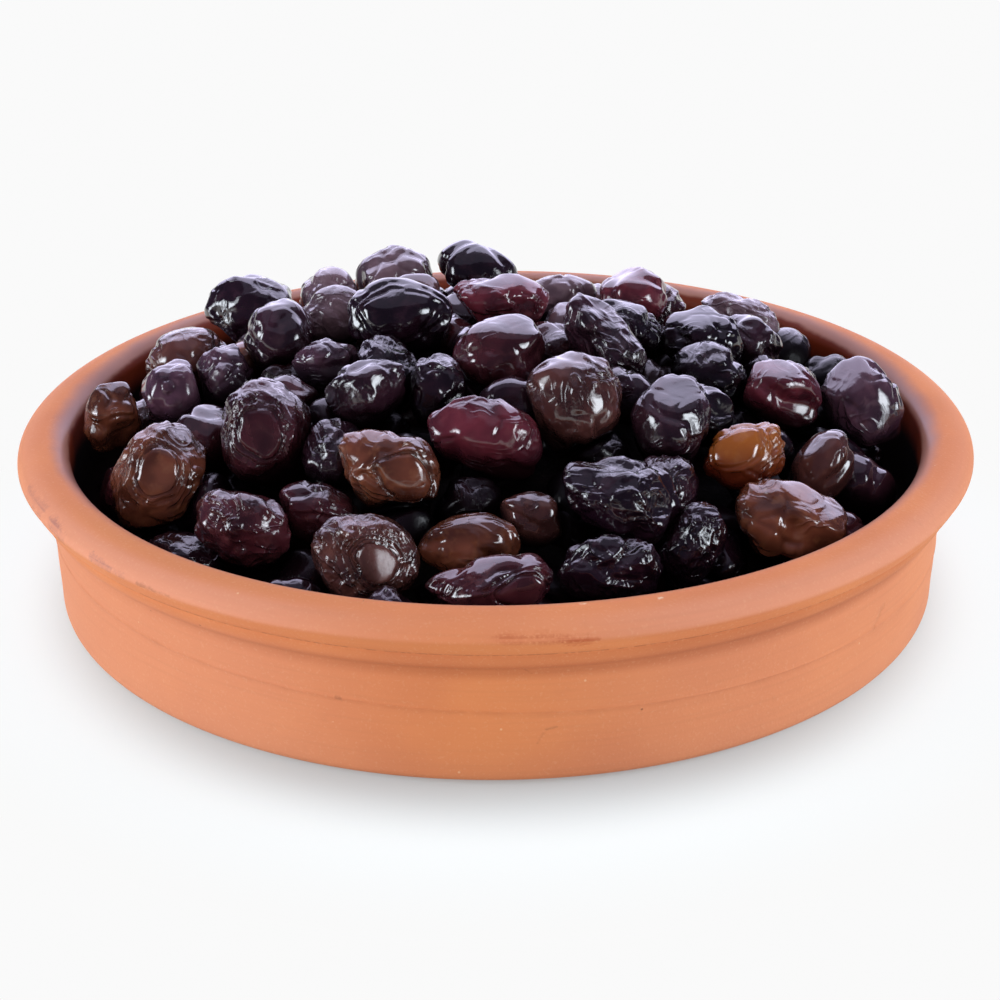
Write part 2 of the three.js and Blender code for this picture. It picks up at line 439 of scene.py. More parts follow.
# Each by its bearing, level, radius, length, width, slope, tint, strength and depth.
MARKS = (
    Mark(4.5, 29.0, 89.8, 13.0, 1.3, -3.0, Tint.RED, 0.50),
    Mark(8.0, 28.7, 89.9, 6.0, 0.5, -2.0, Tint.RED, 0.50, 0.03),
    Mark(3.4, 20.9, 85.2, 4.0, 0.22, -38.0, Tint.DARK, 0.30, 0.06),
    Mark(0.4, 20.9, 85.2, 3.2, 0.20, -40.0, Tint.DARK, 0.20, 0.05),
    Mark(5.8, 10.2, 84.3, 1.8, 0.28, 14.0, Tint.DARK, 0.22, 0.05),
    Mark(4.6, 8.4, 84.3, 2.0, 0.45, 62.0, Tint.DARK, 0.16, 0.08),
    Mark(9.2, 31.6, 83.7, 0.5, 0.50, 10.0, Tint.PALE, 0.9, 0.12),
    Mark(17.5, 31.6, 84.8, 0.3, 0.42, 0.0, Tint.PALE, 0.9, 0.10),
    Mark(-17.5, 14.0, 84.5, 0.7, 0.55, 0.0, Tint.DARK, 0.30, 0.05),
    Mark(-12.0, 24.2, 87.0, 0.9, 0.30, 80.0, Tint.DARK, 0.30, 0.06),
    Mark(-64.5, 29.7, 89.4, 9.0, 1.8, 2.0, Tint.MAUVE, 0.36),
    Mark(-56.8, 29.4, 89.5, 6.5, 1.5, -10.0, Tint.MAUVE, 0.55),
    Mark(-45.5, 28.9, 89.7, 9.0, 0.9, -1.0, Tint.MAUVE, 0.75),
    Mark(-38.0, 28.6, 89.8, 7.0, 0.5, 0.0, Tint.DARK, 0.36, 0.04),
    Mark(50.8, 13.8, 84.4, 4.2, 0.9, 50.0, Tint.DARK, 0.10, 0.12),
    Mark(150.0, 12.0, 84.4, 6.0, 0.5, 12.0, Tint.DARK, 0.16, 0.08),
    Mark(-128.0, 17.0, 84.8, 5.0, 0.7, -24.0, Tint.MAUVE, 0.25),
)


@dataclass(frozen=True)
class ClaySurface:
    """What the clay's finish reads at each point of the dish, in millimetres."""

    place: Value
    x: Value
    y: Value
    level: Value
    outermost: Value  # 1 on the rim's outside
    inward: Value  # how far inwards of the rim's top it lies, along the surface
    streaks: Value  # noise drawn out round the dish, as the potter's fingers leave it
    grain: Value
    blotch: Value

    @classmethod
    def read(cls, tree: MaterialTree) -> "ClaySurface":
        """Read it all.

        Args:
            tree: the material's tree.

        Returns:
            What was read.
        """
        place = tree.place()
        x, y, level = place.part("X"), place.part("Y"), place.part("Z")
        return cls(
            place=place,
            x=x,
            y=y,
            level=level,
            outermost=tree.vector(x, y, 0.0).length().ramp(86.0, 87.0),
            inward=tree.attribute("inward"),
            streaks=tree.noise(tree.vector(x * 0.06, y * 0.06, level * 2.2), 1.6, 2.0),
            grain=tree.noise(place, 0.5, 1.0),
            blotch=tree.noise(place, 3.2, 3.0),
        )


@dataclass(frozen=True)
class Clay:
    """Unglazed red clay outside, glazed dark from the inner side of the rim on, with painted shade
    and painted sheen in some of its colours.
    """

    body: Colour = (0.680, 0.226, 0.092)
    warm: Colour = (0.750, 0.262, 0.102)
    # The pale pink is mostly a painted sheen, on the roll and on the wall towards the sides.
    pink: Colour = (0.740, 0.305, 0.190)
    # The darker ochre is a painted shade on the band under the roll.
    ochre: Colour = (0.630, 0.222, 0.080)
    shaded: Colour = (0.420, 0.115, 0.045)
    pit: Colour = (0.16, 0.05, 0.03)
    speck: Colour = (0.86, 0.58, 0.36)
    # The thin glazing's mauve partly stands in for a reflection of the pale light behind: painted
    # reflection.
    thin_glaze_sheen: Colour = (0.345, 0.145, 0.104)
    red_glaze: Colour = (0.160, 0.022, 0.007)
    # Nearly black: dark glazing, made darker still as painted shade under the heap.
    glaze_and_shade: Colour = (0.0050, 0.0014, 0.0010)
    glaze_start: float = 2.4  # how far inwards of the rim's top it starts, along the surface
    red_start: float = 5.4  # and where it turns red
    deep_start: float = 9.8  # and nearly black
    neck_z: float = 21.6  # height of the hollow under the rim
    lip_z: float = 25.4  # and of the lower edge of the band under the roll
    edge_z: float = 28.6  # and of the band's upper edge
    ridge_z: float = 13.4  # and of the throwing ridge
    ridge_radius: float = 84.4
    ridge_sway: float = 2.0  # how much lower it runs on the right

    def material(self) -> bpy.types.Material:
        """Build the material.

        Returns:
            The material.
        """
        tree = MaterialTree("clay")
        here = ClaySurface.read(tree)
        glazed, reddish, deep = self.glazing(tree, here)
        colour, relief = self.speckled(tree, here, self.zoned(tree, here))
        colour, relief = self.marked(tree, here, colour, relief)
        coated = tree.mix(reddish, self.thin_glaze_sheen, self.red_glaze)
        coated = tree.mix(deep, coated, self.glaze_and_shade)
        coat = glazed * (0.20 - reddish * 0.15) * (1.0 - here.y.ramp(0.0, 60.0) * 0.75)
        shader = tree.node(
            "ShaderNodeBsdfPrincipled",
            {},
            {
                "Base Color": tree.mix(glazed, colour, coated),
                "Roughness": 0.72 - glazed * 0.25,
                "Coat Weight": coat,
                "Coat Roughness": 0.22,
                "Specular IOR Level": 0.15,
                "Normal": tree.bump(relief * (1.0 - glazed)),
            },
        )
        return tree.finish(shader)

    def glazing(self, tree: MaterialTree, here: ClaySurface) -> tuple[Value, Value, Value]:
        """Where the dish is glazed: thinly at first, then red and then nearly black, the black
        partly painted shade.

        Args:
            tree: the material's tree.
            here: what is read from the surface.

        Returns:
            1 wherever it is glazed, 1 where it is red or darker and 1 where it is dark.
        """
        flowing = here.inward + (tree.noise(here.place, 9.0) - 0.5) * 1.6
        flowing = flowing + (here.blotch - 0.5) * 0.7
        at_sides = here.y.ramp(-50.0, -10.0) * (0.9 - here.x.ramp(-20.0, 60.0) * 0.3)
        # Towards the back the glazing turns red and nearly black sooner: painted shade on the inner
        # wall.
        flowing = flowing + at_sides + here.y.ramp(10.0, 60.0) * 2.1
        glazed = flowing.ramp(self.glaze_start - 2.2, self.glaze_start + 1.6)
        reddish = flowing.ramp(self.red_start - 0.8, self.red_start + 0.4)
        deep = flowing.ramp(self.deep_start - 2.2, self.deep_start + 2.4)
        return glazed, reddish, deep

    def zoned(self, tree: MaterialTree, here: ClaySurface) -> Value:
        """The bare clay's colour, which differs from one form of the dish to the next.

        Args:
            tree: the material's tree.
            here: what is read from the surface.

        Returns:
            The colour.
        """
        x, y, level, inward = here.x, here.y, here.level, here.inward
        colour = tree.mix(tree.noise(here.place, 26.0, 3.0).ramp(0.35, 0.7), self.body, self.warm)

        # Pale pink on the roll and on the wall towards the sides, a painted sheen of the pale light
        # behind the dish at a grazing angle; pale pink by the foot too.
        sideways = abs(x + 4.0).ramp(0.0, 40.0)
        rolled = inward.ramp(-8.2, -6.6) * (1.0 - inward.ramp(-4.6, -0.6))
        rolled = rolled * (1.0 - y.ramp(-60.0, -15.0) * 0.6)
        colour = tree.mix(rolled * (0.24 + sideways * 0.64), colour, self.pink)
        painted_wall_sheen = 1.0 - level.ramp(self.neck_z, self.neck_z + 3.0)
        leftish = 0.40 - x.ramp(-40.0, 40.0) * 0.06
        colour = tree.mix(painted_wall_sheen * sideways * leftish, colour, self.pink)
        colour = tree.mix((1.0 - level.ramp(0.0, 9.0)) * 0.16, colour, self.pink)

        # Darker ochre on the band under the roll, a painted shade where it faces down, and on the
        # roll's inner side on the left.
        band = level.ramp(self.lip_z - 0.1, self.lip_z + 0.2)
        band = band * (1.0 - level.ramp(self.edge_z - 0.4, self.edge_z + 0.4)) * here.outermost
        colour = tree.mix(band * (0.5 - sideways * 0.4), colour, self.ochre)
        inner = inward.ramp(-4.0, -0.5) * (1.0 - x.ramp(-50.0, 0.0))
        inner = inner * (1.0 - y.ramp(-60.0, -30.0))
        colour = tree.mix(inner * 0.75, colour, self.ochre)

        # Painted shade on the rim's underside, in the hollow below it and, patchily, under the
        # throwing ridge.
        underside = level.ramp(self.neck_z - 0.4, self.neck_z + 0.6)
        underside = underside * (1.0 - level.ramp(self.lip_z - 0.4, self.lip_z + 0.3))
        colour = tree.mix(underside * (0.06 + x.ramp(-40.0, 0.0) * 0.24), colour, self.shaded)
        cove = 1.0 - abs(level - (self.neck_z - 0.2)).ramp(0.3, 2.6)
        colour = tree.mix(cove * (0.20 + x.ramp(-60.0, 0.0) * 0.32), colour, self.shaded)
        ridge = level - self.ridge_z + x * (self.ridge_sway / self.ridge_radius)
        under_ridge = ridge.ramp(-1.3, -0.1) * (1.0 - ridge.ramp(0.0, 0.35))
        patchy_shade = 0.06 + here.blotch.ramp(0.3, 0.7) * 0.14
        return tree.mix(under_ridge * patchy_shade, colour, self.shaded)

    def speckled(
        self, tree: MaterialTree, here: ClaySurface, colour: Value
    ) -> tuple[Value, Value]:
        """Add the clay's streaks, grain, specks and pits, and the crease under the band.

        Args:
            tree: the material's tree.
            here: what is read from the surface.
            colour: the colour without them.

        Returns:
            The colour with them, and their relief in millimetres.
        """
        streaks, grain, blotch = here.streaks, here.grain, here.blotch
        colour = tree.mix(streaks.ramp(0.45, 0.8) * 0.05, colour, self.pit)
        colour = tree.mix(grain.ramp(0.55, 0.8) * 0.12, colour, self.speck)
        colour = tree.mix(blotch.ramp(0.6, 0.85) * 0.06, colour, self.pit)
        spots = tree.cells(here.place, 6.5, "F1")
        kind = tree.noise(here.place, 5.0, 0.0).ramp(0.46, 0.54)
        pale = (1.0 - spots.ramp(0.12, 0.28)) * kind
        pits = (1.0 - spots.ramp(0.10, 0.26)) * (1.0 - kind)
        colour = tree.mix(pale * 0.6, colour, self.speck)
        colour = tree.mix(pits * 0.55, colour, self.pit)
        crease = 1.0 - abs(here.level - (self.lip_z + 0.1)).ramp(0.06, 0.24)
        crease = crease * tree.noise(here.place, 1.1).ramp(0.38, 0.58) * here.outermost
        colour = tree.mix(crease * 0.30, colour, self.pit)
        relief = (streaks - 0.5) * 0.035 + (grain - 0.5) * 0.03 + (blotch - 0.5) * 0.05
        return colour, relief - pits * 0.12 - crease * 0.10 + pale * 0.03

    def marked(
        self, tree: MaterialTree, here: ClaySurface, colour: Value, relief: Value
    ) -> tuple[Value, Value]:
        """Add the marks that the dish has picked up.

        Args:
            tree: the material's tree.
            here: what is read from the surface.
            colour: the colour without them.
            relief: the relief without them, in millimetres.

        Returns:
            The colour and the relief with them.
        """
        ragged = (here.grain - 0.5) * 1.3 + (here.blotch - 0.5) * 2.4
        streaky = 0.3 + here.streaks.ramp(0.38, 0.60) * 0.7
        for mark in MARKS:
            mask = self.stroke(tree, here.place, ragged, mark)
            if mark.tint in (Tint.RED, Tint.MAUVE):
                mask = mask * streaky
            colour = tree.mix(mask * mark.strength, colour, mark.tint.value)
            if mark.depth:
                relief = relief - mask * mark.depth
        return colour, relief

    def stroke(self, tree: MaterialTree, place: Value, ragged: Value, mark: Mark) -> Value:
        """Where a mark lies, as a stroke with round, ragged ends.

        Args:
            tree: the material's tree.
            place: a point of the surface, in millimetres.
            ragged: how far the stroke's edge strays there, as a share of its width.
            mark: the mark.

        Returns:
            1 on the mark and 0 off it.
        """
        start, way = mark.end(-1), mark.end(1) - mark.end(-1)
        way_there = tree.vector(*way)
        offset = place - tree.vector(*start)
        share = (offset.dot(way_there) / way.length_squared).at_least(0.0).at_most(1.0)
        off = (offset - way_there * share).length() + ragged * mark.width
        return 1.0 - off.ramp(mark.width * -0.3, mark.width * 1.1)


@dataclass(frozen=True)
class OliveSkin:
    """The oily skin of one kind of olive."""

    dark: Colour
    body: Colour
    light: Colour
    gloss: float = 0.11  # roughness
    patch: float = 9.0  # size of its patches of colour, in millimetres
    patchy: float = 0.5  # share of the skin that is dark
    # Painted shade: the lower side is darker by this share.
    fade: float = 0.0  # how much darker its lower side is

    def material(self, name: str) -> bpy.types.Material:
        """Build the material.

        Args:
            name: the material's name.

        Returns:
            The material.
        """
        tree = MaterialTree(name)
        skin, sunk = tree.attribute("skin", "Vector"), tree.attribute("sunk")
        wandering = tree.drift(skin, 5.0, 1.6)
        mottle = tree.noise(wandering, 2.6, 3.0).ramp(0.48, 0.74)
        edge, rings, on_plate = self.plate(tree)
        relief = self.relief(tree, skin, wandering) + rings * 0.30 - edge * 0.30
        skin_shader = tree.node(
            "ShaderNodeBsdfPrincipled",
            {},
            {
                "Base Color": self.coloured(tree, wandering, mottle, edge),
                "Roughness": self.gloss + mottle * 0.08 + sunk * 0.3 + on_plate * 0.16,
                "IOR": 1.5,
                "Coat Weight": 0.8 - sunk * 0.4 - on_plate * 0.65,
                "Coat Roughness": 0.055,
                "Coat IOR": 1.47,
                "Normal": tree.bump(relief),
            },
        )
        # Down in the gaps the skin gives way to a near-black matte shader: painted shade.
        hollow = tree.node("ShaderNodeBsdfDiffuse", {}, {"Color": dimmed(self.dark, 0.2)})
        shader = tree.node("ShaderNodeMixShader", {}, {0: sunk * 0.88, 1: skin_shader, 2: hollow})
        return tree.finish(shader)

    def plate(self, tree: MaterialTree) -> tuple[Value, Value, Value]:
        """The smooth plate that some olives have, with one groove or many rings about it.

        Args:
            tree: the material's tree.

        Returns:
            1 in the groove, 1 on the rings and 1 on a plate inside rings, each fading to 0.
        """
        out, many = tree.attribute("plate_out"), tree.attribute("rings")
        ringed = tree.attribute("plate_ring").ramp(0.45, 0.75)
        edge = (1.0 - abs(out - 1.0).ramp(0.02, 0.10)) * ringed * (1.0 - many)
        window = out.ramp(0.92, 1.0) * (1.0 - out.ramp(1.42, 1.58))
        rings = (out / 0.17).ridges(1.0, 4.0) * window * ringed * many
        return edge, rings, (1.0 - out.ramp(0.84, 0.98)) * ringed * many

    def coloured(
        self, tree: MaterialTree, wandering: Value, mottle: Value, edge: Value
    ) -> Value:
        """The skin's colour: patchy, mottled, darker in grooves, and with painted shade down in the
        gaps.

        Args:
            tree: the material's tree.
            wandering: the place on the skin, moved about.
            mottle: 1 where the skin has its lightest tone.
            edge: 1 in the groove about a plate.

        Returns:
            The colour.
        """
        shade, sunk = tree.attribute("shade"), tree.attribute("sunk")
        patches = tree.noise(wandering, self.patch, 2.0)
        patches = patches.ramp(self.patchy - 0.14, self.patchy + 0.14)
        colour = tree.mix(0.15 + patches * (0.50 + shade * 0.35), self.dark, self.body)
        colour = tree.mix(mottle * (0.15 + shade * 0.35), colour, self.light)
        # Painted shade on the olive's lower side.
        if self.fade:
            low = 1.0 - tree.attribute("up").ramp(-1.5, 6.0)
            colour = tree.mix(low * self.fade, colour, self.dark)
        groove = tree.attribute("groove").at_least(edge)
        # Darker in grooves and about a plate; down in the gaps, painted shade.
        colour = tree.mix((groove * 0.6).at_least(sunk.ramp(0.0, 0.5) * 0.8), colour, self.dark)
        return tree.mix(sunk.ramp(0.3, 1.0) * 0.9, colour, dimmed(self.dark, 0.35))

    def relief(self, tree: MaterialTree, skin: Value, wandering: Value) -> Value:
        """The finest wrinkles, which catch the light as threads.

        Args:
            tree: the material's tree.
            skin: the place on the skin, in millimetres.
            wandering: the same, moved about.

        Returns:
            Their height, in millimetres.
        """
        crinkled = tree.attribute("crinkled")
        lines = tree.noise(tree.drawn_out(wandering, 0.35), 5.5, 0.0).ridges(0.135, 3.0)
        swirls = tree.noise(wandering + 47.0, 6.5, 0.0).ridges(0.130, 3.5)
        along = tree.noise(skin + 3.0, 7.0, 0.0).ramp(0.44, 0.56)
        folded = lines * along + swirls * (1.0 - along)
        threads = 1.0 - (abs(tree.noise(skin, 2.3, 1.0) - 0.5) * 11.0).at_most(1.0)
        wires = 1.0 - tree.cells(tree.drift(skin, 2.0, 0.8), 2.3).ramp(0.0, 0.34)
        relief = folded * (0.009 + crinkled * 0.20) + threads * (0.010 + crinkled * 0.012)
        relief = relief + wires * crinkled * (tree.attribute("crumples") * 0.55)
        return relief + tree.noise(wandering, 0.9, 1.0) * 0.007


@dataclass(frozen=True)
class PaintedShadeCore:
    """What is seen of the heap's middle in the deepest gaps: wet, and nearly black as painted
    shade.
    """

    colour: Colour = (0.0012, 0.0006, 0.0007)

    def material(self) -> bpy.types.Material:
        """Build the material.

        Returns:
            The material.
        """
        tree = MaterialTree("painted_shade_core")
        place = tree.place()
        lumps = tree.noise(place, 4.0, 3.0)
        colour = tree.mix(lumps.ramp(0.4, 0.7), self.colour, dimmed(self.colour, 3.0))
        shader = tree.node(
            "ShaderNodeBsdfPrincipled",
            {},
            {
                "Base Color": colour,
                "Roughness": 0.8 + lumps * 0.2,
                "Specular IOR Level": 0.08,
                "Normal": tree.bump(lumps * 1.5),
            },
        )
        return tree.finish(shader)


class Tone(Enum):
    """The kinds of olive in the heap, by the colour of their skin."""

    JET = OliveSkin((0.0034, 0.0013, 0.0028), (0.0140, 0.0044, 0.0100), (0.042, 0.014, 0.024))
    INK = OliveSkin((0.0065, 0.0024, 0.0046), (0.0400, 0.0140, 0.0250), (0.080, 0.034, 0.048))
    WINE = OliveSkin((0.0110, 0.0026, 0.0044), (0.0700, 0.0150, 0.0220), (0.130, 0.038, 0.044))
    # Its greyish body partly stands in for a lavender sheen: painted sheen.
    PLUM = OliveSkin(
        (0.0190, 0.0090, 0.0170), (0.0920, 0.0390, 0.0660), (0.150, 0.074, 0.100), gloss=0.13
    )
    MAROON = OliveSkin((0.0320, 0.0060, 0.0110), (0.1600, 0.0250, 0.0410), (0.230, 0.052, 0.066))
    UMBER = OliveSkin((0.0220, 0.0075, 0.0080), (0.1040, 0.0355, 0.0320), (0.170, 0.066, 0.050))
    # Its pale grey-lavender body partly stands in for the lavender sheen: painted sheen.
    ASH = OliveSkin(
        (0.0560, 0.0310, 0.0420), (0.1700, 0.1000, 0.1320), (0.230, 0.152, 0.186), gloss=0.17
    )
    CHESTNUT = OliveSkin((0.0320, 0.0085, 0.0056), (0.1850, 0.0540, 0.0300), (0.270, 0.098, 0.044))
    AMBER = OliveSkin(
        (0.1000, 0.0140, 0.0060),
        (0.4000, 0.1250, 0.0220),
        (0.560, 0.240, 0.040),
        patch=12.0,
        patchy=0.44,
        fade=0.9,
    )


# -------------------------------------------------------------------------- the dish


def turned_mesh(name: str, profile: np.ndarray, turns: int) -> bpy.types.Mesh:
    """Turn an outline about the vertical axis into a closed mesh.

    Args:
        name: the mesh's name.
        profile: rows of radius and height in metres, from the axis at the bottom, round
            the outside and back to the axis.
        turns: how many steps go round.

    Returns:
        The mesh, with its faces pointing out.
    """
    angles = np.arange(turns) * (2.0 * math.pi / turns)
    ring = np.column_stack([np.cos(angles), np.sin(angles)])
    body = profile[1:-1]
    points = np.empty((len(body), turns, 3))
    points[:, :, :2] = body[:, None, :1] * ring[None]
    points[:, :, 2] = body[:, None, 1]
    points = points.reshape(-1, 3)
    bottom, top = len(points), len(points) + 1
    points = np.vstack([points, [0.0, 0.0, profile[0, 1]], [0.0, 0.0, profile[-1, 1]]])
    faces = []
    for row in range(len(body) - 1):
        low, high = row * turns, (row + 1) * turns
        for step in range(turns):
            after = (step + 1) % turns
            faces.append((low + step, low + after, high + after, high + step))
    last = (len(body) - 1) * turns
    for step in range(turns):
        after = (step + 1) % turns
        faces.append((bottom, after, step))
        faces.append((last + step, last + after, top))
    mesh = bpy.data.meshes.new(name)
    mesh.from_pydata(points.tolist(), [], faces)
    mesh.shade_smooth()
    return mesh


def smooth_through(points: list[tuple[float, float]], steps: int) -> list[tuple[float, float]]:
    """A smooth curve through points, without its last point.

    Args:
        points: the points, of which the first and last are ends.
        steps: how many steps lie between two of them.

    Returns:
        The points of the curve.
    """
    ends = [points[0], *points, points[-1]]
    curve = []
    for before, start, end, after in zip(ends, ends[1:], ends[2:], ends[3:]):
        for step in range(steps):
            t = step / steps
            curve.append(
                tuple(
                    0.5
                    * (
                        2 * b
                        + (c - a) * t
                        + (2 * a - 5 * b + 4 * c - d) * t * t
                        + (3 * b - a - 3 * c + d) * t**3
                    )
                    for a, b, c, d in zip(before, start, end, after)
                )
            )
    return curve


def arc(
    centre: tuple[float, float], size: tuple[float, float], start: float, end: float, steps: int
) -> list[tuple[float, float]]:
    """Points on a stretch of an ellipse.

    Args:
        centre: its middle, as radius and height.
        size: its half-axes.
        start: the first angle in degrees, from outwards towards up.
        end: the last angle.
        steps: how many steps lie between them.

    Returns:
        The points, both ends among them.
    """
    angles = np.radians(np.linspace(start, end, steps + 1))
    return [(centre[0] + size[0] * math.cos(a), centre[1] + size[1] * math.sin(a)) for a in angles]


@dataclass
class Dish:
    """The thrown clay dish: a straight wall under a heavy rolled rim. Sizes in millimetres."""

    rim_radius: float = 90.0
    height: float = 31.7
    roll_out: float = 5.8
    roll_drop: float = 3.3
    roll_in: float = 3.8
    lip: tuple[float, float] = (87.9, Clay.lip_z)  # radius and height
    neck: tuple[float, float] = (85.2, Clay.neck_z)
    waist_radius: float = Clay.ridge_radius
    foot_radius: float = 84.1
    foot_corner: float = 1.8
    inner_waist_radius: float = 80.2
    floor_z: float = 6.2
    floor_corner: float = 9.0
    turns: int = 320
    wobble: float = 0.10  # unevenness left by the hands
    middle_inward: float = 60.0  # how far inwards the floor's middle is taken to lie
    clay: Clay = field(default_factory=Clay)

    def outline(self) -> np.ndarray:
        """The dish's section, up the outside, over the rim and down the inside.

        Returns:
            Rows of radius and height, in metres.
        """
        roll = (self.rim_radius - self.roll_out, self.height - self.roll_drop)
        ridge_z = self.clay.ridge_z
        mouth = (roll[0] - self.roll_in, roll[1])
        corner = self.foot_corner
        lip_radius, lip_z = self.lip
        neck_radius, neck_z = self.neck
        wall = [
            (self.foot_radius, corner),
            (self.waist_radius - 0.1, 8.0),
            (self.waist_radius, ridge_z - 0.7),
            (self.waist_radius + 0.16, ridge_z),
            (self.waist_radius + 0.06, ridge_z + 0.8),
            (neck_radius - 0.45, 18.0),
            (neck_radius - 0.12, neck_z - 0.5),
        ]
        underside = [
            (neck_radius + 0.02, neck_z),
            (neck_radius + 0.65, neck_z + 0.35),
            (neck_radius + 1.75, neck_z + 1.5),
            (lip_radius - 0.22, lip_z - 0.75),
            (lip_radius - 0.16, lip_z - 0.12),
        ]
        band = [
            (lip_radius + 0.02, lip_z + 0.12),
            (lip_radius + 0.85, lip_z + 0.85),
            (self.rim_radius - 0.42, roll[1] - 0.75),
            (self.rim_radius - 0.16, roll[1] - 0.12),
        ]
        inner = [
            mouth,
            (mouth[0] - 0.10, roll[1] - 4.0),
            ((mouth[0] + self.inner_waist_radius) / 2, roll[1] - 9.0),
            (self.inner_waist_radius, self.floor_z + self.floor_corner + 1.0),
        ]
        points = [(0.0, 0.0), (self.foot_radius - 14.0, 0.0)]
        points += arc((self.foot_radius - corner, corner), (corner, corner), -90, 0, 8)[:-1]
        points += smooth_through(wall, 4)
        points += smooth_through(underside, 4)
        points += smooth_through(band, 4)
        points += arc(roll, (self.roll_out, self.roll_drop), 0, 90, 16)
        points += arc(roll, (self.roll_in, self.roll_drop), 98, 172, 10)
        points += smooth_through(inner, 5)
        reach = self.inner_waist_radius - self.floor_corner
        points += arc(
            (reach, self.floor_z + self.floor_corner), (self.floor_corner,) * 2, 0, -90, 8
        )
        points += [(reach / 2, self.floor_z), (0.0, self.floor_z)]
        return np.array(points) * MM

    def build(self) -> bpy.types.Object:
        """Make the dish.

        Returns:
            The finished piece.
        """
        mesh = turned_mesh("clay_dish", self.outline(), self.turns)
        places = np.empty(len(mesh.vertices) * 3)
        mesh.vertices.foreach_get("co", places)
        mesh.vertices.foreach_set("co", self.unevened(places.reshape(-1, 3)).ravel())
        mesh.update()
        inward = mesh.attributes.new("inward", "FLOAT", "POINT")
        middles = [-self.middle_inward, self.middle_inward]  # of the underside and of the floor
        rings = np.repeat(self.inward(), self.turns)
        inward.data.foreach_set("value", np.append(rings, middles))
        dish = bpy.data.objects.new("clay_dish", mesh)
        bpy.context.collection.objects.link(dish)
        mesh.materials.append(self.clay.material())
        return dish

    def inward(self) -> np.ndarray:
        """How far each ring of the dish lies inwards of the rim's top, along the surface.

        Returns:
            The distances in millimetres, below 0 on the outside.
        """
        outline = self.outline()[1:-1] / MM
        steps = np.hypot(*np.diff(outline, axis=0).T)
        along = np.concatenate([[0.0], np.cumsum(steps)])
        return along - along[np.argmax(outline[:, 1])]

    def unevened(self, places: np.ndarray) -> np.ndarray:
        """Give the turned form the slow waver of a hand-thrown one, always inwards.

        Args:
            places: the vertices, in metres.

        Returns:
            The moved vertices.
        """
        angle = np.arctan2(places[:, 1], places[:, 0])
        level = places[:, 2] / MM
        waver = (
            np.sin(3 * angle + 0.11 * level)
            + np.sin(5 * angle - 0.35 * level + 1.0)
            + np.sin(0.9 * level + 2 * np.sin(angle))
        )
        depth = self.wobble * (waver - 3.0) / 6.0
        moved = places.copy()
        standing = np.clip((level - 0.5) / 3.0, 0.0, 1.0)
        middle = np.clip(1.0 - np.abs(level - 12.5) / 7.0, 0.0, 1.0) * (level > 0.5)
        moved[:, 2] -= middle * self.clay.ridge_sway * np.cos(angle) * MM
        radius = np.hypot(places[:, 0], places[:, 1])
        share = 1.0 + depth * standing * MM / np.maximum(radius, 10 * MM)
        moved[:, :2] *= share[:, None]
        return moved


# -------------------------------------------------------------------------- the olives


@dataclass(frozen=True)
class Relief:
    """How deep each kind of relief is on an olive's skin, in millimetres."""

    dents: float
    plates: float  # stiff plates of skin, with grooves between them
    wrinkles: float
    crumples: float
    rings: float  # share of the rings about a smooth plate
    smooth: float  # share of the skin that stays smooth


class Wrinkling(Enum):
    """How far an olive has dried."""

    SMOOTH = Relief(0.70, 0.12, 0.14, 0.00, 0.00, 0.64)
    CREASED = Relief(0.85, 0.30, 0.32, 0.04, 0.00, 0.50)
    PLATED = Relief(0.60, 0.20, 0.38, 0.08, 0.25, 0.30)
    CRUMPLED = Relief(1.00, 0.26, 0.42, 0.10, 0.00, 0.30)
    RINGED = Relief(0.50, 0.10, 0.26, 0.24, 1.00, 0.12)


@dataclass(frozen=True)
class Face:
    """A side of an olive that is pressed flat, seen from its middle. Angles in degrees."""

    bearing: float  # from the front towards the right
    rise: float  # up from level
    depth: float  # how far out it lies, as a share of the olive's reach there
    ring: float = 0.0  # depth in millimetres of the grooves round a smooth plate on it
    spread: float = 30.0  # how far that plate reaches from its middle


@dataclass(frozen=True)
class Olive:
    """One olive in its place in the heap. Sizes in millimetres, angles in degrees."""

    at: tuple[float, float, float]  # its middle
    long: float
    wide: float
    turn: float  # of its long axis, from the right towards the back
    lean: float  # of its long axis, up from level
    tone: Tone
    skin: Wrinkling
    faces: tuple[Face, ...] = ()


# Short names, so that an olive fits on a line.
J, I, W, P, M, U, H, C, A = Tone
S, R, O, K, N = Wrinkling

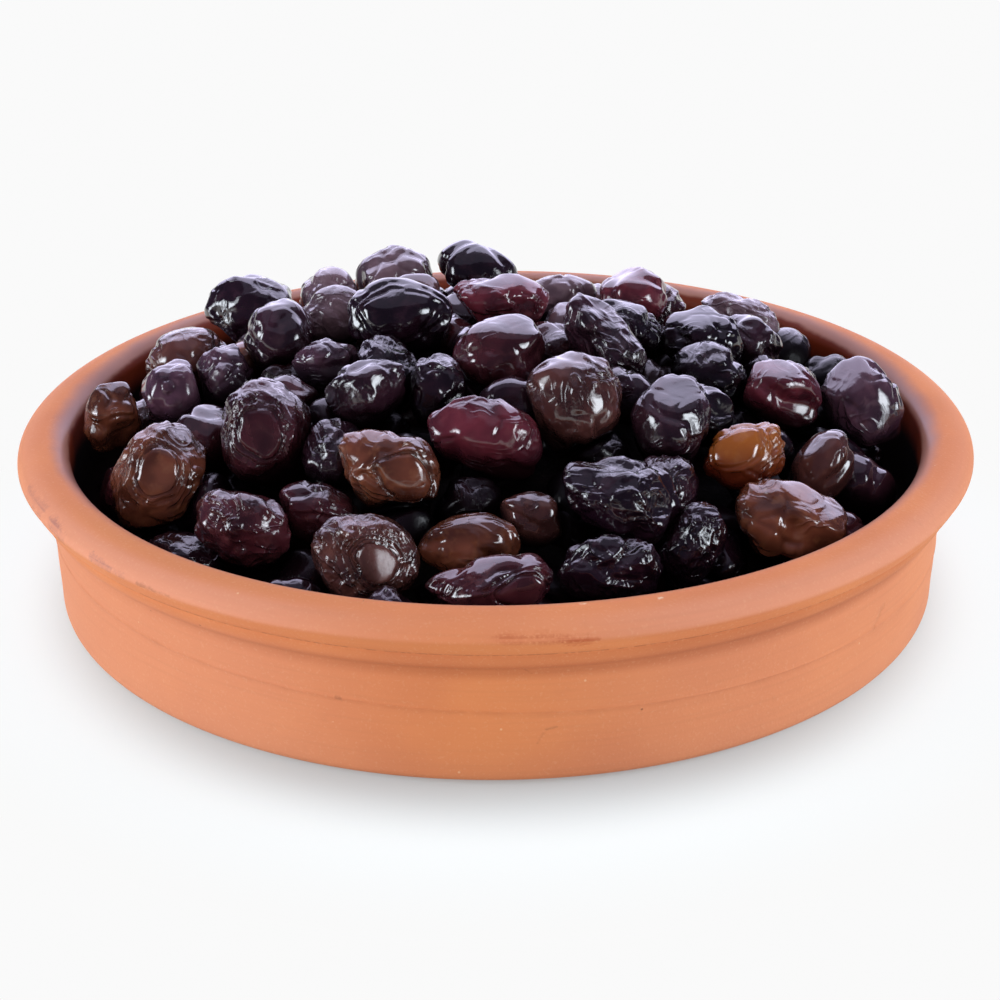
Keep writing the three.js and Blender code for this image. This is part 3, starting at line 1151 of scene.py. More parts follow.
# Each by its place, length, width, turn, lean, kind and wrinkling, and any sides pressed flat.
LAID = [
    # along the left rim
    Olive((-73, -1, 31), 14, 12, 65, 65, C, R),
    Olive((-62, 2, 34), 14.5, 13.5, 5, 10, P, S, (Face(0, 35, 0.96, 0.45, 9),)),
    Olive((-52, 6, 36), 14, 12.5, 35, 50, P, R),
    Olive((-62, 20, 34), 16.5, 15, 10, 20, U, R),
    Olive((-60, -29, 30), 20.5, 17, 35, 50, C, O, (Face(2, 32, 0.91, 0.78, 27),)),
    # at the back on the left
    Olive((-50, 37, 39), 20, 16, 175, 10, J, R, (Face(-10, 18, 0.86), Face(-38, 44, 0.82))),
    Olive((-42, 12, 41), 17, 15.5, 65, 65, I, S),
    Olive((-35, 39, 40), 15.5, 13.5, 35, 50, H, R),
    Olive((-21, 44, 43), 17.5, 14.5, 5, 15, H, R),
    Olive((-46, 30, 32), 16, 14, 80, 20, P, R),
    # the crown of the heap, and what carries its back
    Olive((-18, 10, 46), 21, 16.5, 0, 5, J, S, (Face(0, 30, 0.97, 0.40, 42),)),
    Olive((1, 17, 47), 20.5, 13, 180, 5, M, R, (Face(0, 80, 0.86),)),
    Olive((-4, 43, 45), 17.5, 13.5, 175, 10, J, S),
    Olive((-12, 41, 36), 17, 14, 20, 10, J, R),
    Olive((1, -8, 45), 18.5, 16, 15, 25, W, S, (Face(25, 80, 0.86),)),
    Olive((-11, -16, 41), 14.5, 12.5, 35, 50, J, K),
    Olive((-23, -19, 42), 17, 13.5, 15, 25, I, R, (Face(-42, 16, 0.80), Face(42, 10, 0.84))),
    Olive((-32, 2, 40), 14, 12, 0, 0, P, R),
    Olive((14, -25, 42), 19.5, 17.5, 110, 65, U, R, (Face(-28, 26, 0.93),)),
    Olive((21, -2, 45), 22, 13.5, 145, 50, I, K, (Face(55, 66, 0.82),)),
    Olive((13, 31, 43), 15, 11.5, 180, 0, H, R),
    Olive((28, 29, 43), 15, 14.5, 90, 65, M, S),
    # at the back on the right
    Olive((40, 13, 40), 17, 15, 170, 20, J, R, (Face(-25, 80, 0.82),)),
    Olive((50, 35, 37), 18.5, 12, 170, 20, H, K),
    # along the right rim
    Olive((54, -5, 36), 16.5, 13.5, 170, 25, M, R, (Face(-15, 80, 0.84),)),
    Olive((70, -1, 32), 19.5, 16, 130, 60, P, R, (Face(-62, 50, 0.78), Face(20, 12, 0.88))),
    Olive((59, -26, 30), 14.5, 12, 35, 50, U, S),
    Olive((51, -44, 28), 20, 15.5, 175, 10, C, R, (Face(55, 60, 0.73), Face(-25, 35, 0.92))),
    # down the front of the heap
    Olive((-41, -24, 36), 21, 18, 130, 60, W, O, (Face(-2, 26, 0.92, 0.78, 28),)),
    Olive(
        (-18, -40, 36), 20, 16, 165, 30, C, R, (Face(14, 14, 0.97, 0.70, 32), Face(-42, 58, 0.84))
    ),
    Olive((-2, -33, 39), 21.5, 14, 175, 15, M, R, (Face(-35, 46, 0.82), Face(28, 8, 0.86))),
    Olive((31, -26, 38), 20, 15, 50, 60, I, R, (Face(8, 70, 0.76), Face(-42, 12, 0.86))),
    Olive((44, -30, 34), 15.5, 14, 10, 20, A, R, (Face(-20, 42, 0.97, 0.35, 40),)),
    Olive((21, -48, 34), 23, 15.5, 170, 15, J, K, (Face(-25, 52, 0.84), Face(62, 30, 0.82))),
    # along the front rim
    Olive((-43, -47, 28), 19, 14.5, 165, 25, W, K, (Face(30, 15, 0.86),)),
    Olive((-31, -42, 29), 15.5, 11.5, 175, 10, W, R),
    Olive(
        (-22, -57, 27), 18.5, 15.5, 165, 30, U, N, (Face(34, 23, 0.80), Face(19, 24, 1.0, 0.80, 27))
    ),
    Olive((-4, -53, 28), 18.5, 11, 0, 5, C, S),
    Olive((-1, -65, 26), 21, 12, 0, 5, W, R, (Face(20, 14, 0.97, 0.60, 26),)),
    Olive((6, -47, 30), 13.5, 10.5, 175, 10, U, S),
    Olive((19, -59, 26), 17.5, 12, 0, 5, J, K),
    Olive((33, -51, 26), 15.5, 11.5, 50, 60, J, N),
]


@dataclass
class Grown:
    """What makes one olive its own. Millimetres and radians, along the olive's own axes."""

    half: Vector  # its half-axes
    turned: Vector
    taper: float
    bend: float
    seed: float
    shade: float
    relief: Relief
    flats: list[Vector]  # the way that each flat side faces, the longer the firmer it is pressed
    plate: Vector = field(default_factory=Vector)  # the way that its smooth plate faces
    plate_ring: float = 0.0
    plate_spread: float = 1.0

    def spin(self) -> Matrix:
        """How it is turned in the heap."""
        return (
            Matrix.Rotation(self.turned.z, 3, "Z")
            @ Matrix.Rotation(self.turned.y, 3, "Y")
            @ Matrix.Rotation(self.turned.x, 3, "X")
        )

    def pole(self, face: Face) -> Vector:
        """Where a face's middle lies, as a direction on the ball that the olive is made from.

        Args:
            face: the face.

        Returns:
            The direction.
        """
        bearing, rise = math.radians(face.bearing), math.radians(face.rise)
        level = math.cos(rise)
        toward = Vector((level * math.sin(bearing), -level * math.cos(bearing), math.sin(rise)))
        return self.reach(toward).normalized()

    def reach(self, toward: Vector) -> Vector:
        """How far it reaches in a direction, along each of its own half-axes.

        Args:
            toward: the direction, in the part's frame.

        Returns:
            The reach along each half-axis.
        """
        own = self.spin().transposed() @ toward
        return Vector(half * part for half, part in zip(self.half, own))


class Draws:
    """A repeatable series of numbers between 0 and 1."""

    RANGE = 2**32
    APART = 2654435761  # sets the series of neighbouring seeds far apart
    FACTOR = 1664525
    TERM = 1013904223

    def __init__(self, seed: int) -> None:
        """Start a series.

        Args:
            seed: picks one series of many.
        """
        self.state = (seed * self.APART) % self.RANGE

    def __call__(self) -> float:
        """The next number."""
        self.state = (self.state * self.FACTOR + self.TERM) % self.RANGE
        return self.state / self.RANGE


@dataclass(frozen=True)
class Layer:
    """A rule that lays olives in rings wherever there is room, from the wall inwards."""

    outermost: float  # the first ring's radius
    step: float  # from one ring in to the next
    tries: int  # places tried round each ring
    room: float  # least distance to an olive already in place
    back_rise: float  # from the core's top up to their centres, behind back_y
    front_rise: float
    seed: int
    back_y: float = 8.0
    right_x: float = 30.0
    long: float = 16.5
    wide: float = 13.5
    spread: float = 0.12  # how much larger or smaller than that one can be, as a share
    most_lean: float = 30.0
    tones: tuple[Tone, ...] = (J, P, U, I, M, H, C, W, P, U)  # taken in turn
    # Darker kinds where the heap lies in shade: painted shade.
    shade_tones: tuple[Tone, ...] = (J, I, W, I)  # in front of back_y and right of right_x
    skins: tuple[Wrinkling, ...] = (R, S, K, R, O, S, K)


@dataclass
class Heap:
    """The heap of olives. Sizes in millimetres."""

    shelf_z: float = 21.0  # the level that the olives on top are laid on, by the wall
    top_z: float = 42.0  # the same in the heap's middle
    across: float = 76.0  # from the middle to where it ends, to either side
    deep: float = 62.0  # and to the front or the back
    back: float = 4.0  # how far behind the dish's middle the heap's middle lies
    steepness: float = 3.0
    core_drop: float = 9.0  # how far the scene's own core lies under the laid olives' level
    core_radius: float = 77.0
    core_steps: int = 24
    core_turns: int = 96
    core_narrowing: float = 0.16  # how much less deep than wide its upper part is
    core_shoulder: float = 6.0  # height over which it becomes so
    open_above: float = -5.0  # depth under the level that the olives are laid on
    dark_below: float = 4.0
    wall_shade: float = 9.0  # how much higher the shade reaches by the wall at the back's right
    front_light: float = 0.65  # how much of the shade the ring behind the front rim is spared
    floor_z: float = 6.7
    rings: Layer = Layer(
        outermost=69.0, step=7.0, tries=48, room=12.5, back_rise=3.0, front_rise=-1.5, seed=7
    )
    under: Layer = Layer(
        outermost=66.0, step=6.5, tries=40, room=11.0, back_rise=-9.0, front_rise=-9.5, seed=11
    )
    between: Layer = Layer(
        outermost=70.0,
        step=6.0,
        tries=52,
        room=10.2,
        back_rise=-1.5,
        front_rise=-5.5,
        seed=5,
        long=14.5,
        wide=12.5,
        most_lean=40.0,
    )
    plumper: float = 1.05  # how much larger the laid olives are, as their flats take some away
    thinnest: float = 0.86
    skins_apart: float = 31.7  # how far apart the wrinkles of one olive and the next are read
    most_taper: float = 0.14
    most_bend: float = 0.12
    flats: int = 3  # sides pressed flat, drawn for each olive
    flat_nearest: float = 0.8
    flat_range: float = 0.16
    sharpness: float = 16.0
    faces: int = 2  # the most faces that one olive is listed with
    contacts: int = 6  # more sides pressed flat, each by the nearest neighbours
    contact_gap: float = 0.12
    contact_range: float = 26.0  # how far apart two olives' middles can be for them to touch
    contact_deepest: float = 0.55  # the least share of its reach that a contact leaves an olive
    laid_fineness: int = 32  # points along each edge of the cube that an olive is rounded from
    ring_fineness: int = 21
    between_fineness: int = 13
    under_fineness: int = 9

    def core_z(self, x: float, y: float) -> float:
        """The height that the olives on top are laid on."""
        share = min(math.hypot(x / self.across, (y - self.back) / self.deep), 1.0)
        return self.top_z - (self.top_z - self.shelf_z) * share**self.steepness

    def laid_by(self, layer: Layer, placed: list[Olive]) -> list[Olive]:
        """Lay olives by a rule.

        Args:
            layer: the rule.
            placed: the olives that are already in place.

        Returns:
            The new olives.
        """
        draw = Draws(layer.seed)
        taken = [Vector(olive.at) for olive in placed]
        laid: list[Olive] = []
        radius = layer.outermost
        while radius > 0:
            for attempt in range(layer.tries):
                angle = 2 * math.pi * attempt / layer.tries
                x, y = radius * math.cos(angle), radius * math.sin(angle)
                rise = layer.back_rise if y > layer.back_y else layer.front_rise
                at = Vector((x, y, self.core_z(x, y) + rise))
                if all((at - other).length > layer.room for other in taken):
                    size = 1 + layer.spread * (2 * draw() - 1)
                    turn = 360 * draw()
                    lean = layer.most_lean * draw()
                    # Darker kinds go where the heap lies in shade, as painted shade.
                    deep = y <= layer.back_y or x >= layer.right_x
                    tones = layer.shade_tones if deep else layer.tones
                    tone = tones[len(laid) % len(tones)]
                    skin = layer.skins[len(laid) % len(layer.skins)]
                    long, wide = layer.long * size, layer.wide * size
                    laid.append(Olive(tuple(at), long, wide, turn, lean, tone, skin))
                    taken.append(at)
            radius -= layer.step
        return laid

    def olives(self) -> list[tuple[Olive, int]]:
        """Every olive, each with how finely it is made.

        Returns:
            The olives in the order of their seeds.
        """
        rings = self.laid_by(self.rings, LAID)
        under = self.laid_by(self.under, LAID + rings)
        between = self.laid_by(self.between, LAID + rings)
        fineness = [
            *[self.laid_fineness] * len(LAID),
            *[self.ring_fineness] * len(rings),
            *[self.under_fineness] * len(under),
            *[self.between_fineness] * len(between),
        ]
        return list(zip(LAID + rings + under + between, fineness))

    def grown(self, olives: list[Olive]) -> list[Grown]:
        """Work out what makes each olive its own, with the same draws as its solid has.

        Args:
            olives: every olive in the heap, in the order of their seeds.

        Returns:
            What makes each its own.
        """
        grown = []
        for seed, olive in enumerate(olives, start=1):
            draw = Draws(seed)
            flats = []
            for _ in range(self.flats):
                height, angle = 2 * draw() - 1, 2 * math.pi * draw()
                level = math.sqrt(1 - height**2)
                facing = Vector((level * math.cos(angle), level * math.sin(angle), height))
                flats.append(facing / (self.flat_nearest + self.flat_range * draw()))
            thick = olive.wide * (self.thinnest + (1 - self.thinnest) * draw())
            taper = self.most_taper * (2 * draw() - 1)
            bend = self.most_bend * (2 * draw() - 1)
            roll = 2 * math.pi * draw()
            turned = Vector((roll, -math.radians(olive.lean), math.radians(olive.turn)))
            half = Vector((olive.long, olive.wide, thick)) / 2
            if seed <= len(LAID):
                half *= self.plumper
            one = Grown(half, turned, taper, bend, float(seed), draw(), olive.skin.value, flats)
            for face in olive.faces:
                facing = one.pole(face)
                one.flats.append(facing * self.firmness(face.depth))
                if face.ring:
                    one.plate, one.plate_ring = facing, face.ring
                    one.plate_spread = math.radians(face.spread)
            one.flats += [Vector()] * (self.faces - len(olive.faces))
            grown.append(one)
        self.press_neighbours(olives, grown)
        return grown

    def firmness(self, depth: float) -> float:
        """How hard a flat has to press for an olive to reach only a share of its full size."""
        return (depth**-self.sharpness - 1) ** (1 / self.sharpness)

    def press_neighbours(self, olives: list[Olive], grown: list[Grown]) -> None:
        """Add a flat to each olive wherever a neighbour presses on it.

        Args:
            olives: every olive in the heap.
            grown: what makes each its own, which gets the flats.
        """
        centres = [Vector(olive.at) for olive in olives]
        for here, mine in enumerate(grown):
            pressed = []
            for there, theirs in enumerate(grown):
                apart = centres[there] - centres[here]
                if here == there or apart.length > self.contact_range:
                    continue
                toward = apart.normalized()
                reach, other = mine.reach(toward), theirs.reach(toward)
                overlap = reach.length + other.length - apart.length
                if overlap > 0:
                    meet = apart.length * reach.length / (reach.length + other.length)
                    depth = max((meet - self.contact_gap) / reach.length, self.contact_deepest)
                    pressed.append((overlap, reach.normalized() * self.firmness(depth)))
            pressed.sort(key=lambda one: -one[0])
            mine.flats += [flat for _, flat in pressed[: self.contacts]]

    def points(self, chosen: list[tuple[Olive, Grown]]) -> bpy.types.Object:
        """A vertex for each olive, which carries what makes it its own.

        Args:
            chosen: the olives, each with what makes it its own.

        Returns:
            An object of loose vertices, in metres.
        """
        mesh = bpy.data.meshes.new("places")
        mesh.from_pydata([Vector(olive.at) * MM for olive, _ in chosen], [], [])
        columns: dict[str, list] = {"centre": [Vector(olive.at) for olive, _ in chosen]}
        for own in fields(Grown):
            if own.name not in ("relief", "flats"):
                columns[own.name] = [getattr(one, own.name) for _, one in chosen]
        for slot in range(self.flats + self.faces + self.contacts):
            columns[f"flat_{slot}"] = [
                one.flats[slot] if slot < len(one.flats) else Vector() for _, one in chosen
            ]
        for kind in fields(Relief):
            columns[kind.name] = [getattr(one.relief, kind.name) for _, one in chosen]
        for label, column in columns.items():
            vectors = isinstance(column[0], Vector)
            attribute = mesh.attributes.new(label, "FLOAT_VECTOR" if vectors else "FLOAT", "POINT")
            flat = [part for one in column for part in one] if vectors else column
            attribute.data.foreach_set("vector" if vectors else "value", flat)
        source = bpy.data.objects.new("places", mesh)
        bpy.context.collection.objects.link(source)
        return source

    def olive_tree(self) -> GeometryTree:
        """Geometry nodes that turn each vertex into a whole olive.

        Returns:
            The tree.
        """
        tree = GeometryTree(
            "whole_olives",
            {
                "Fineness": ("NodeSocketInt", self.laid_fineness),
                "Relief": ("NodeSocketFloat", 1.0),
                "Skin": ("NodeSocketMaterial", None),
            },
        )
        corners = tree.given("Fineness")
        cube = tree.node(
            "GeometryNodeMeshCube",
            {},
            {"Size": 2.0, "Vertices X": corners, "Vertices Y": corners, "Vertices Z": corners},
        )
        place = tree.node("GeometryNodeInputPosition")
        even = tree.node(
            "ShaderNodeVectorMath", {"operation": "TANGENT"}, {0: place * (math.pi / 4)}
        )
        way = tree.node("ShaderNodeVectorMath", {"operation": "NORMALIZE"}, {0: even})
        ball = tree.store(cube, "way", way, "FLOAT_VECTOR")
        source = tree.given("Geometry")
        olives = tree.node("GeometryNodeInstanceOnPoints", {}, {"Points": source, "Instance": ball})
        olives = tree.node("GeometryNodeRealizeInstances", {}, {"Geometry": olives})
        body, firm = self.body(tree)
        euler = tree.attribute("turned", "FLOAT_VECTOR")
        spin = tree.node("FunctionNodeEulerToRotation", {}, {0: euler})
        turned = tree.node("FunctionNodeRotateVector", {}, {"Vector": body, "Rotation": spin})
        at = (turned + tree.attribute("centre", "FLOAT_VECTOR")) * MM
        olives = tree.node("GeometryNodeSetPosition", {}, {"Geometry": olives, "Position": at})
        skin = body + tree.attribute("seed") * self.skins_apart
        olives = tree.store(olives, "skin", skin, "FLOAT_VECTOR")
        olives = tree.store(olives, "firm", firm)
        olives = tree.store(olives, "sunk", self.sunk(tree))
        olives = tree.store(olives, "up", turned.part("Z"))
        olives = tree.store(olives, "plate_out", self.plate_out(tree))
        height, groove, crinkled = self.relief(tree)
        olives = tree.store(olives, "groove", groove)
        olives = tree.store(olives, "crinkled", crinkled)
        out = tree.node("GeometryNodeInputNormal") * (height * tree.given("Relief") * MM)
        olives = tree.node("GeometryNodeSetPosition", {}, {"Geometry": olives, "Offset": out})
        olives = tree.node("GeometryNodeSetShadeSmooth", {}, {"Geometry": olives})
        inputs = {"Geometry": olives, "Material": tree.given("Skin")}
        tree.finish(tree.node("GeometryNodeSetMaterial", {}, inputs))
        return tree

    def sunk(self, tree: GeometryTree) -> Value:
        """How deep a vertex lies between the olives on top, which the skins turn into painted
        shade.

        Args:
            tree: the tree that it is built in.

        Returns:
            0 where it lies open, and 1 down in the gaps.
        """
        place = tree.node("GeometryNodeInputPosition") * (1.0 / MM)
        across, deep = place.part("X") / self.across, (place.part("Y") - self.back) / self.deep
        share = tree.vector(across, deep, 0.0).length().at_most(1.0)
        level = self.top_z - share**self.steepness * (self.top_z - self.shelf_z)
        radius = tree.vector(place.part("X"), place.part("Y"), 0.0).length()
        walled = radius.ramp(58.0, 70.0) * place.part("X").ramp(0.0, 20.0)
        walled = walled * place.part("Y").ramp(4.0, 14.0)
        depth = level + walled * self.wall_shade - place.part("Z")
        behind_rim = radius.ramp(60.0, 70.0) * (0.0 - place.part("Y")).ramp(20.0, 45.0)
        return depth.ramp(self.open_above, self.dark_below) * (1.0 - behind_rim * self.front_light)

    def body(self, tree: GeometryTree) -> tuple[Value, Value]:
        """An olive's plain form: an oval, pressed flat on some sides, tapered and bent.

        Args:
            tree: the tree that it is built in.

        Returns:
            The place of each vertex from the olive's middle, in millimetres, and how far a
            vertex lies on one of the listed sides that are pressed flat, from 0 to 1.
        """
        way = tree.attribute("way", "FLOAT_VECTOR")
        press: Value | float = 1.0
        by_hand: Value | float = 0.0
        for slot in range(self.flats + self.faces + self.contacts):
            facing = way.dot(tree.attribute(f"flat_{slot}", "FLOAT_VECTOR"))
            pressed = facing.at_least(0.0) ** self.sharpness
            press = press + pressed
            if self.flats <= slot < self.flats + self.faces:
                by_hand = by_hand + pressed
        reach = press ** (-1 / self.sharpness)
        along = way.part("X") * reach
        girth = reach * (1.0 - tree.attribute("taper") * along)
        lift = tree.attribute("bend") * (along * along - 1 / 3)
        across = way.part("Y") * girth + lift
        up = way.part("Z") * girth
        place = tree.vector(along, across, up) * tree.attribute("half", "FLOAT_VECTOR")
        return place, by_hand / press

    def relief(self, tree: GeometryTree) -> tuple[Value, Value, Value]:
        """The relief of an olive's dried skin.

        Args:
            tree: the tree that it is built in.

        Returns:
            Its height in millimetres, how deep in a groove a point lies and how crinkled
            the skin is there, the last two from 0 to 1.
        """
        skin = tree.attribute("skin", "FLOAT_VECTOR")
        wandering = tree.drift(skin, 6.0, 2.0)
        dents = tree.noise(skin, 8.5, 1.0) - 0.6
        on_plate, clear, rings = self.plate(tree)
        off_plate = 1.0 - on_plate
        cleft = 1.0 - abs(tree.noise(skin + 71.0, 12.0, 0.5) - 0.5).ramp(0.0, 0.12)
        patches = tree.noise(skin + 13.0, 8.0, 1.0) - tree.attribute("smooth") * 0.55 - 0.18
        rough = patches.ramp(0.0, 0.14) * (1.0 - clear)
        edge = tree.cells(wandering, 7.5)
        there = tree.noise(skin + 29.0, 6.0, 1.0).ramp(0.42, 0.58) * off_plate
        groove = (1.0 - edge.ramp(0.05, 0.65)) * there
        shoulder = edge.ramp(0.2, 0.9) * (1.0 - edge.ramp(0.9, 2.0)) * there
        folds = tree.noise(tree.drawn_out(wandering, 0.45), 8.0, 0.5).ridges(0.17, 2.2)
        crumple = 1.0 - tree.cells(tree.drift(skin, 2.6, 0.9), 2.7).ramp(0.0, 0.7)
        plates = tree.attribute("plates")
        height = (
            (dents * 2.4 - cleft * 0.80 * off_plate) * tree.attribute("dents")
            - groove * plates
            + shoulder * plates * 0.25
            + folds * rough * tree.attribute("wrinkles")
            + (crumple - 0.3) * rough * tree.attribute("crumples")
        )
        stiff = tree.attribute("firm") * (0.15 + tree.attribute("smooth") * 1.5).at_most(1.0)
        height = height * (1.0 - stiff * 0.9) + rings - 0.2
        return height, groove * (plates * 2.0).at_most(1.0), rough * (1.0 - stiff * 0.85)

    def plate_out(self, tree: GeometryTree) -> Value:
        """How far a point lies from the middle of its olive's smooth plate.

        Args:
            tree: the tree that it is built in.

        Returns:
            The distance, which is 1 on the plate's uneven edge.
        """
        near = tree.attribute("way", "FLOAT_VECTOR").dot(tree.attribute("plate", "FLOAT_VECTOR"))
        near = near.at_most(1.0).at_least(-1.0)
        away = tree.node("ShaderNodeMath", {"operation": "ARCCOSINE"}, {0: near})
        wavy = (tree.noise(tree.attribute("skin", "FLOAT_VECTOR"), 6.0, 1.0) - 0.5) * 0.85
        return away / tree.attribute("plate_spread") + wavy

    def plate(self, tree: GeometryTree) -> tuple[Value, Value, Value]:
        """A smooth plate on an olive, and the ridges that ring it.

        Args:
            tree: the tree that it is built in.

        Returns:
            1 on the plate, 1 wherever no other wrinkles are let in, and the ridges' height in
            millimetres.
        """
        skin, out = tree.attribute("skin", "FLOAT_VECTOR"), tree.attribute("plate_out")
        ring = tree.attribute("plate_ring")
        there = (ring * 20.0).at_most(1.0)
        on_plate = (1.0 - out.ramp(0.88, 1.04)) * there
        many = tree.attribute("rings")
        clear = (1.0 - (out - many * 0.42).ramp(0.92, 1.10)) * there
        ridges = ((out - 1.10) / (0.42 - many * 0.14)).ridges(1.0, 2.2)
        dome = (1.0 - out * out).at_least(0.0) * on_plate * many * 0.2
        window = out.ramp(0.80, 0.96) * (1.0 - (out - many * 0.4).ramp(1.30, 1.60))
        broken = tree.noise(skin + 5.0, 3.0, 1.0).ramp(0.32, 0.55)
        return on_plate, clear, ((ridges * 1.3 - 0.75) * window * broken + dome) * ring

    def build_olives(self) -> list[bpy.types.Object]:
        """Make the olives, one piece for each kind.

        Returns:
            The finished pieces.
        """
        olives = self.olives()
        grown = self.grown([olive for olive, _ in olives])
        tree = self.olive_tree()
        return [self.build_kind(tone, tree, olives, grown) for tone in Tone]

    def build_kind(
        self, tone: Tone, tree: GeometryTree, olives: list[tuple[Olive, int]], grown: list[Grown]
    ) -> bpy.types.Object:
        """Make the olives of one kind.

        Args:
            tone: the kind.
            tree: the geometry nodes that make olives.
            olives: every olive, each with how finely it is made.
            grown: what makes each its own.

        Returns:
            The finished piece.
        """
        name = tone.name.lower()
        material = tone.value.material(f"{name}_olive_skin")
        parts = []
        for fineness in sorted({fine for _, fine in olives}, reverse=True):
            chosen = [
                (olive, one)
                for (olive, fine), one in zip(olives, grown)
                if olive.tone is tone and fine == fineness
            ]
            if chosen:
                source = self.points(chosen)
                sizes = {"Fineness": fineness, "Relief": 1.0, "Skin": material}
                part = bpy.data.objects.new("part", tree.run(source, sizes))
                bpy.context.collection.objects.link(part)
                bpy.data.objects.remove(source)
                parts.append(part)
        piece = parts[0]
        if len(parts) > 1:
            joined = {"active_object": piece, "selected_editable_objects": parts}
            with bpy.context.temp_override(**joined):
                bpy.ops.object.join()
        piece.name = f"{name}_olives"
        piece.data.name = piece.name
        return piece

    def build_core(self) -> bpy.types.Object:
        """Make the middle of the heap, which closes the deepest gaps, nearly black as painted
        shade.

        Returns:
            The finished piece.
        """
        radius = self.core_radius
        low = self.shelf_z - self.core_drop
        profile = [
            (0.0, self.floor_z),
            (radius - 10.0, self.floor_z),
            (radius - 2.5, self.floor_z + 3.0),
        ]
        for step in range(self.core_steps + 1):
            share = 1.0 - step / self.core_steps
            rise = (self.top_z - self.shelf_z) * (1.0 - share**self.steepness)
            profile.append((radius * share, low + rise))
        mesh = turned_mesh("heap_core", np.array(profile) * MM, self.core_turns)
        places = np.empty(len(mesh.vertices) * 3)
        mesh.vertices.foreach_get("co", places)
        places = places.reshape(-1, 3)
        share = np.clip((places[:, 2] - low * MM) / (self.core_shoulder * MM), 0.0, 1.0)
        narrowed = places[:, 1] * (1.0 - share * self.core_narrowing)
        places[:, 1] = narrowed + share * self.back * MM
        mesh.vertices.foreach_set("co", places.ravel())
        mesh.update()
        mesh.materials.append(PaintedShadeCore().material())
        core = bpy.data.objects.new("heap_core", mesh)
        bpy.context.collection.objects.link(core)
        return core


# -------------------------------------------------------------------------- the studio


@dataclass(frozen=True)
class Softbox:
    """An oval of soft light that faces the dish. Metres, and radiance for its brightness."""

    at: tuple[float, float, float]
    width: float
    height: float
    brightness: float
    colour: Colour = WHITE
    reflected: bool = True  # seen in the glossy skins
    lighting: bool = True  # lights the matte surfaces

    def build(self, name: str, aim: Vector) -> None:
        """Place the light.

        Args:
            name: its name.
            aim: the point that it faces.
        """
        light = bpy.data.lights.new(name, "AREA")
        light.shape = "ELLIPSE"
        light.size = self.width
        light.size_y = self.height
        area = self.width * self.height * math.pi / 4
        light.energy = self.brightness * math.pi * area
        light.color = self.colour
        lamp = bpy.data.objects.new(name, light)
        lamp.location = self.at
        lamp.rotation_euler = (Vector(self.at) - aim).to_track_quat("Z", "Y").to_euler()
        lamp.visible_glossy = self.reflected
        lamp.visible_diffuse = self.lighting
        lamp.visible_camera = False
        bpy.context.collection.objects.link(lamp)


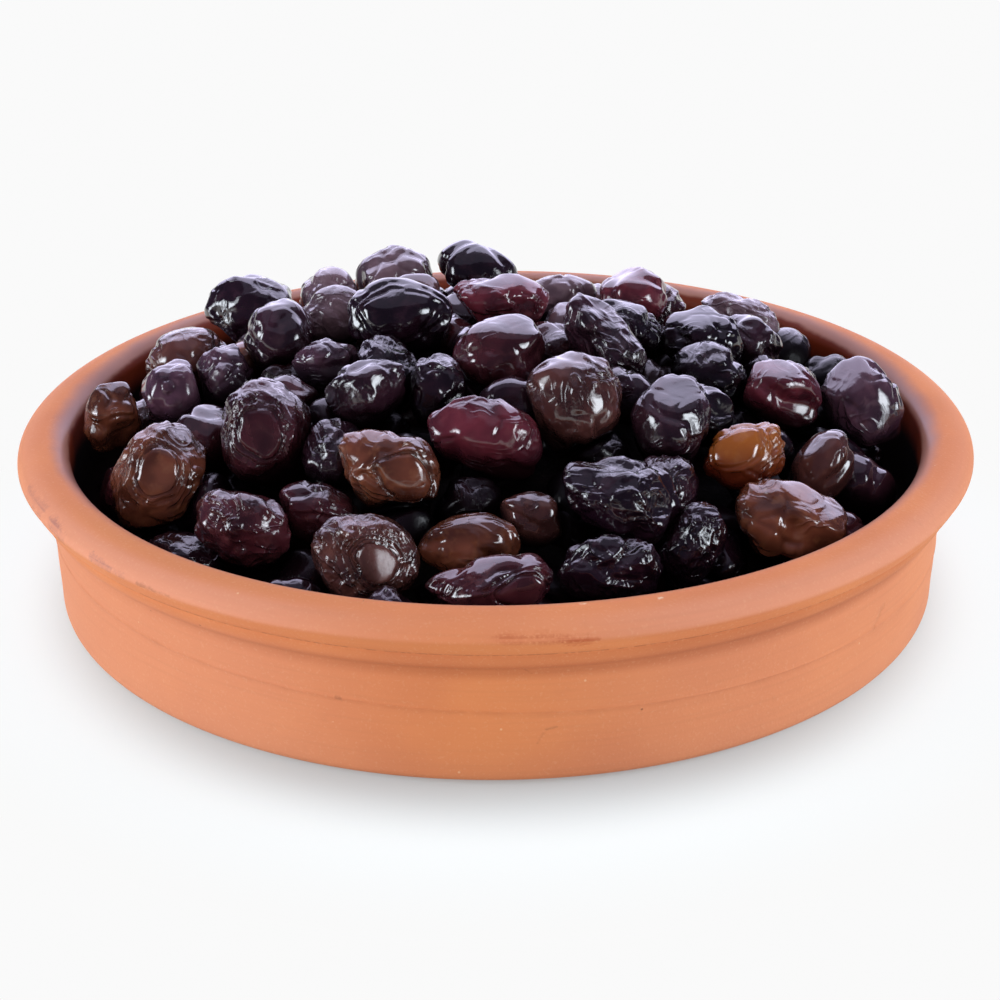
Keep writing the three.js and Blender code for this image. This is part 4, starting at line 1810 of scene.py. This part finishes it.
@dataclass
class Studio:
    """The pale floor, the soft lights and the camera."""

    distance: float = 0.405  # from the foot's centre to the camera
    elevation: float = 25.73  # of the camera, in degrees
    look_down: float = 24.14
    look_right: float = 0.12
    roll: float = -0.33
    view_pixels: float = 2044.0  # focal length, where the render is as wide as the next value
    render_pixels: float = 1000.0
    sensor: float = 36.0
    aim: Vector = field(default_factory=lambda: Vector((0.0, 0.0, 0.03)))
    paper: float = 0.955  # brightness of the floor and of what is behind it
    lit_paper: Colour = (0.358, 0.425, 0.452)  # how it takes the light round the dish
    # Dimmer close to the dish than further out: a painted shadow round the foot.
    shadow_glow: float = 0.24  # what it gives off there itself, close to the dish
    far_glow: float = 0.62  # and further out
    floor_radius: float = 2.5
    floor_turns: int = 96
    side_light: float = 11.0  # how much nearer the shadow ends at the sides, in millimetres

    def build(self) -> None:
        """Set up the whole studio."""
        self.build_camera()
        self.build_floor()
        self.build_lights()
        self.build_world()
        bpy.context.scene.view_settings.view_transform = "Standard"

    def build_camera(self) -> None:
        """Place the camera."""
        lens = bpy.data.cameras.new("camera")
        lens.sensor_width = self.sensor
        lens.lens = self.view_pixels / self.render_pixels * self.sensor
        lens.clip_start = 0.01
        camera = bpy.data.objects.new("camera", lens)
        rise = math.radians(self.elevation)
        camera.location = (0.0, -self.distance * math.cos(rise), self.distance * math.sin(rise))
        spin = (
            Matrix.Rotation(-math.radians(self.look_right), 3, "Z")
            @ Matrix.Rotation(math.radians(90.0 - self.look_down), 3, "X")
            @ Matrix.Rotation(math.radians(self.roll), 3, "Z")
        )
        camera.rotation_euler = spin.to_euler()
        bpy.context.collection.objects.link(camera)
        bpy.context.scene.camera = camera

    def build_floor(self) -> None:
        """Lay the floor, with a painted shadow round the dish."""
        turns, radius = self.floor_turns, self.floor_radius
        mesh = bpy.data.meshes.new("floor")
        angles = [2 * math.pi * step / turns for step in range(turns)]
        rim = [(radius * math.cos(angle), radius * math.sin(angle), 0.0) for angle in angles]
        mesh.from_pydata(rim, [], [tuple(range(turns))])
        floor = bpy.data.objects.new("floor", mesh)
        bpy.context.collection.objects.link(floor)
        tree = MaterialTree("white_paper")
        place = tree.place()
        far = place.length()
        sideways = place.part("X") / far
        out = far + sideways * sideways * self.side_light
        lit = tree.node("ShaderNodeBsdfDiffuse", {}, {"Color": self.lit_paper})
        dim, bright = dimmed(WHITE, self.shadow_glow), dimmed(WHITE, self.far_glow)
        # The floor's own glow dims close to the dish: a painted shadow round the foot.
        glow = tree.mix(out.ramp(82.0, 104.0), dim, bright)
        glowing = tree.shining("ShaderNodeEmission", glow, 1.0)
        near = tree.node("ShaderNodeAddShader", {}, {0: lit, 1: glowing})
        even = tree.shining("ShaderNodeEmission", WHITE, self.paper)
        inputs = {0: out.ramp(88.0, 126.0), 1: near, 2: even}
        mesh.materials.append(tree.finish(tree.node("ShaderNodeMixShader", {}, inputs)))

    def build_lights(self) -> None:
        """Place the soft lights."""
        cold, warm, lavender = (0.86, 0.92, 1.0), (1.0, 0.96, 0.92), (0.76, 0.72, 1.0)
        cool = (0.82, 0.93, 1.0)
        softboxes = {
            "left_softbox": Softbox((-0.85, -0.20, 0.26), 0.38, 0.58, 5.0, cold, lighting=False),
            "left_bulb": Softbox((-0.84, -0.20, 0.26), 0.24, 0.38, 7.0, cold, lighting=False),
            "right_softbox": Softbox((0.72, -0.52, 0.30), 0.36, 0.62, 5.0, cold, lighting=False),
            "right_bulb": Softbox((0.71, -0.51, 0.30), 0.22, 0.40, 7.0, cold, lighting=False),
            "left_fill": Softbox((-0.85, -0.10, 0.26), 0.51, 0.51, 8.0, cool, reflected=False),
            "right_fill": Softbox((0.85, 0.05, 0.30), 0.51, 0.51, 7.8, cool, reflected=False),
            "back_panel": Softbox((0.0, 1.05, 0.80), 2.5, 1.9, 2.8, lavender, lighting=False),
            "ceiling": Softbox((0.0, 0.1, 1.5), 2.4, 1.8, 0.25, lavender, lighting=False),
            "back_fill": Softbox((0.0, 1.2, 0.6), 1.8, 1.02, 1.6, lavender, reflected=False),
            "top_fill": Softbox((0.0, -0.1, 1.3), 1.58, 1.58, 1.25, warm, reflected=False),
            "front_fill": Softbox((0.0, -1.3, 0.55), 1.36, 0.90, 2.4, warm, reflected=False),
        }
        for name, softbox in softboxes.items():
            softbox.build(name, self.aim)

    def build_world(self) -> None:
        """Surround the scene with dim light, which looks as white as the floor."""
        world = bpy.data.worlds.new("surroundings")
        world.use_nodes = True
        world.node_tree.nodes.clear()
        tree = Tree(world.node_tree)
        seen = tree.node("ShaderNodeLightPath", {}, {}, "Is Camera Ray")
        mirrored = tree.node("ShaderNodeLightPath", {}, {}, "Is Glossy Ray")
        lighting = tree.shining("ShaderNodeBackground", (0.80, 0.80, 1.0), 0.12)
        dark = tree.shining("ShaderNodeBackground", (0.60, 0.58, 1.0), 0.09)
        dim = tree.node("ShaderNodeMixShader", {}, {0: mirrored, 1: lighting, 2: dark})
        white = tree.shining("ShaderNodeBackground", WHITE, self.paper)
        mixed = tree.node("ShaderNodeMixShader", {}, {0: seen, 1: dim, 2: white})
        out = world.node_tree.nodes.new("ShaderNodeOutputWorld")
        world.node_tree.links.new(mixed.socket, out.inputs["Surface"])
        bpy.context.scene.world = world


# -------------------------------------------------------------------------- the part


def report(piece: bpy.types.Object) -> None:
    """Log a finished piece's size."""
    triangles = sum(len(face.vertices) - 2 for face in piece.data.polygons)
    log.info("%s: %d triangles", piece.name, triangles)


def stand_for(piece: bpy.types.Object, node: str) -> None:
    """Let a finished piece take the place of a solid.

    Args:
        piece: the piece.
        node: the solid's node.
    """
    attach(piece, BODY)
    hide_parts(node)
    report(piece)


def main() -> None:
    """Build the studio, the dish and the heap, round the solids of the frame."""
    logging.basicConfig(level=logging.INFO, format="%(message)s")
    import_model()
    Studio().build()
    stand_for(Dish().build(), "dish")
    heap = Heap()
    stand_for(heap.build_core(), "olives")
    for piece in heap.build_olives():
        stand_for(piece, "olives")


if __name__ == "__main__":
    main()
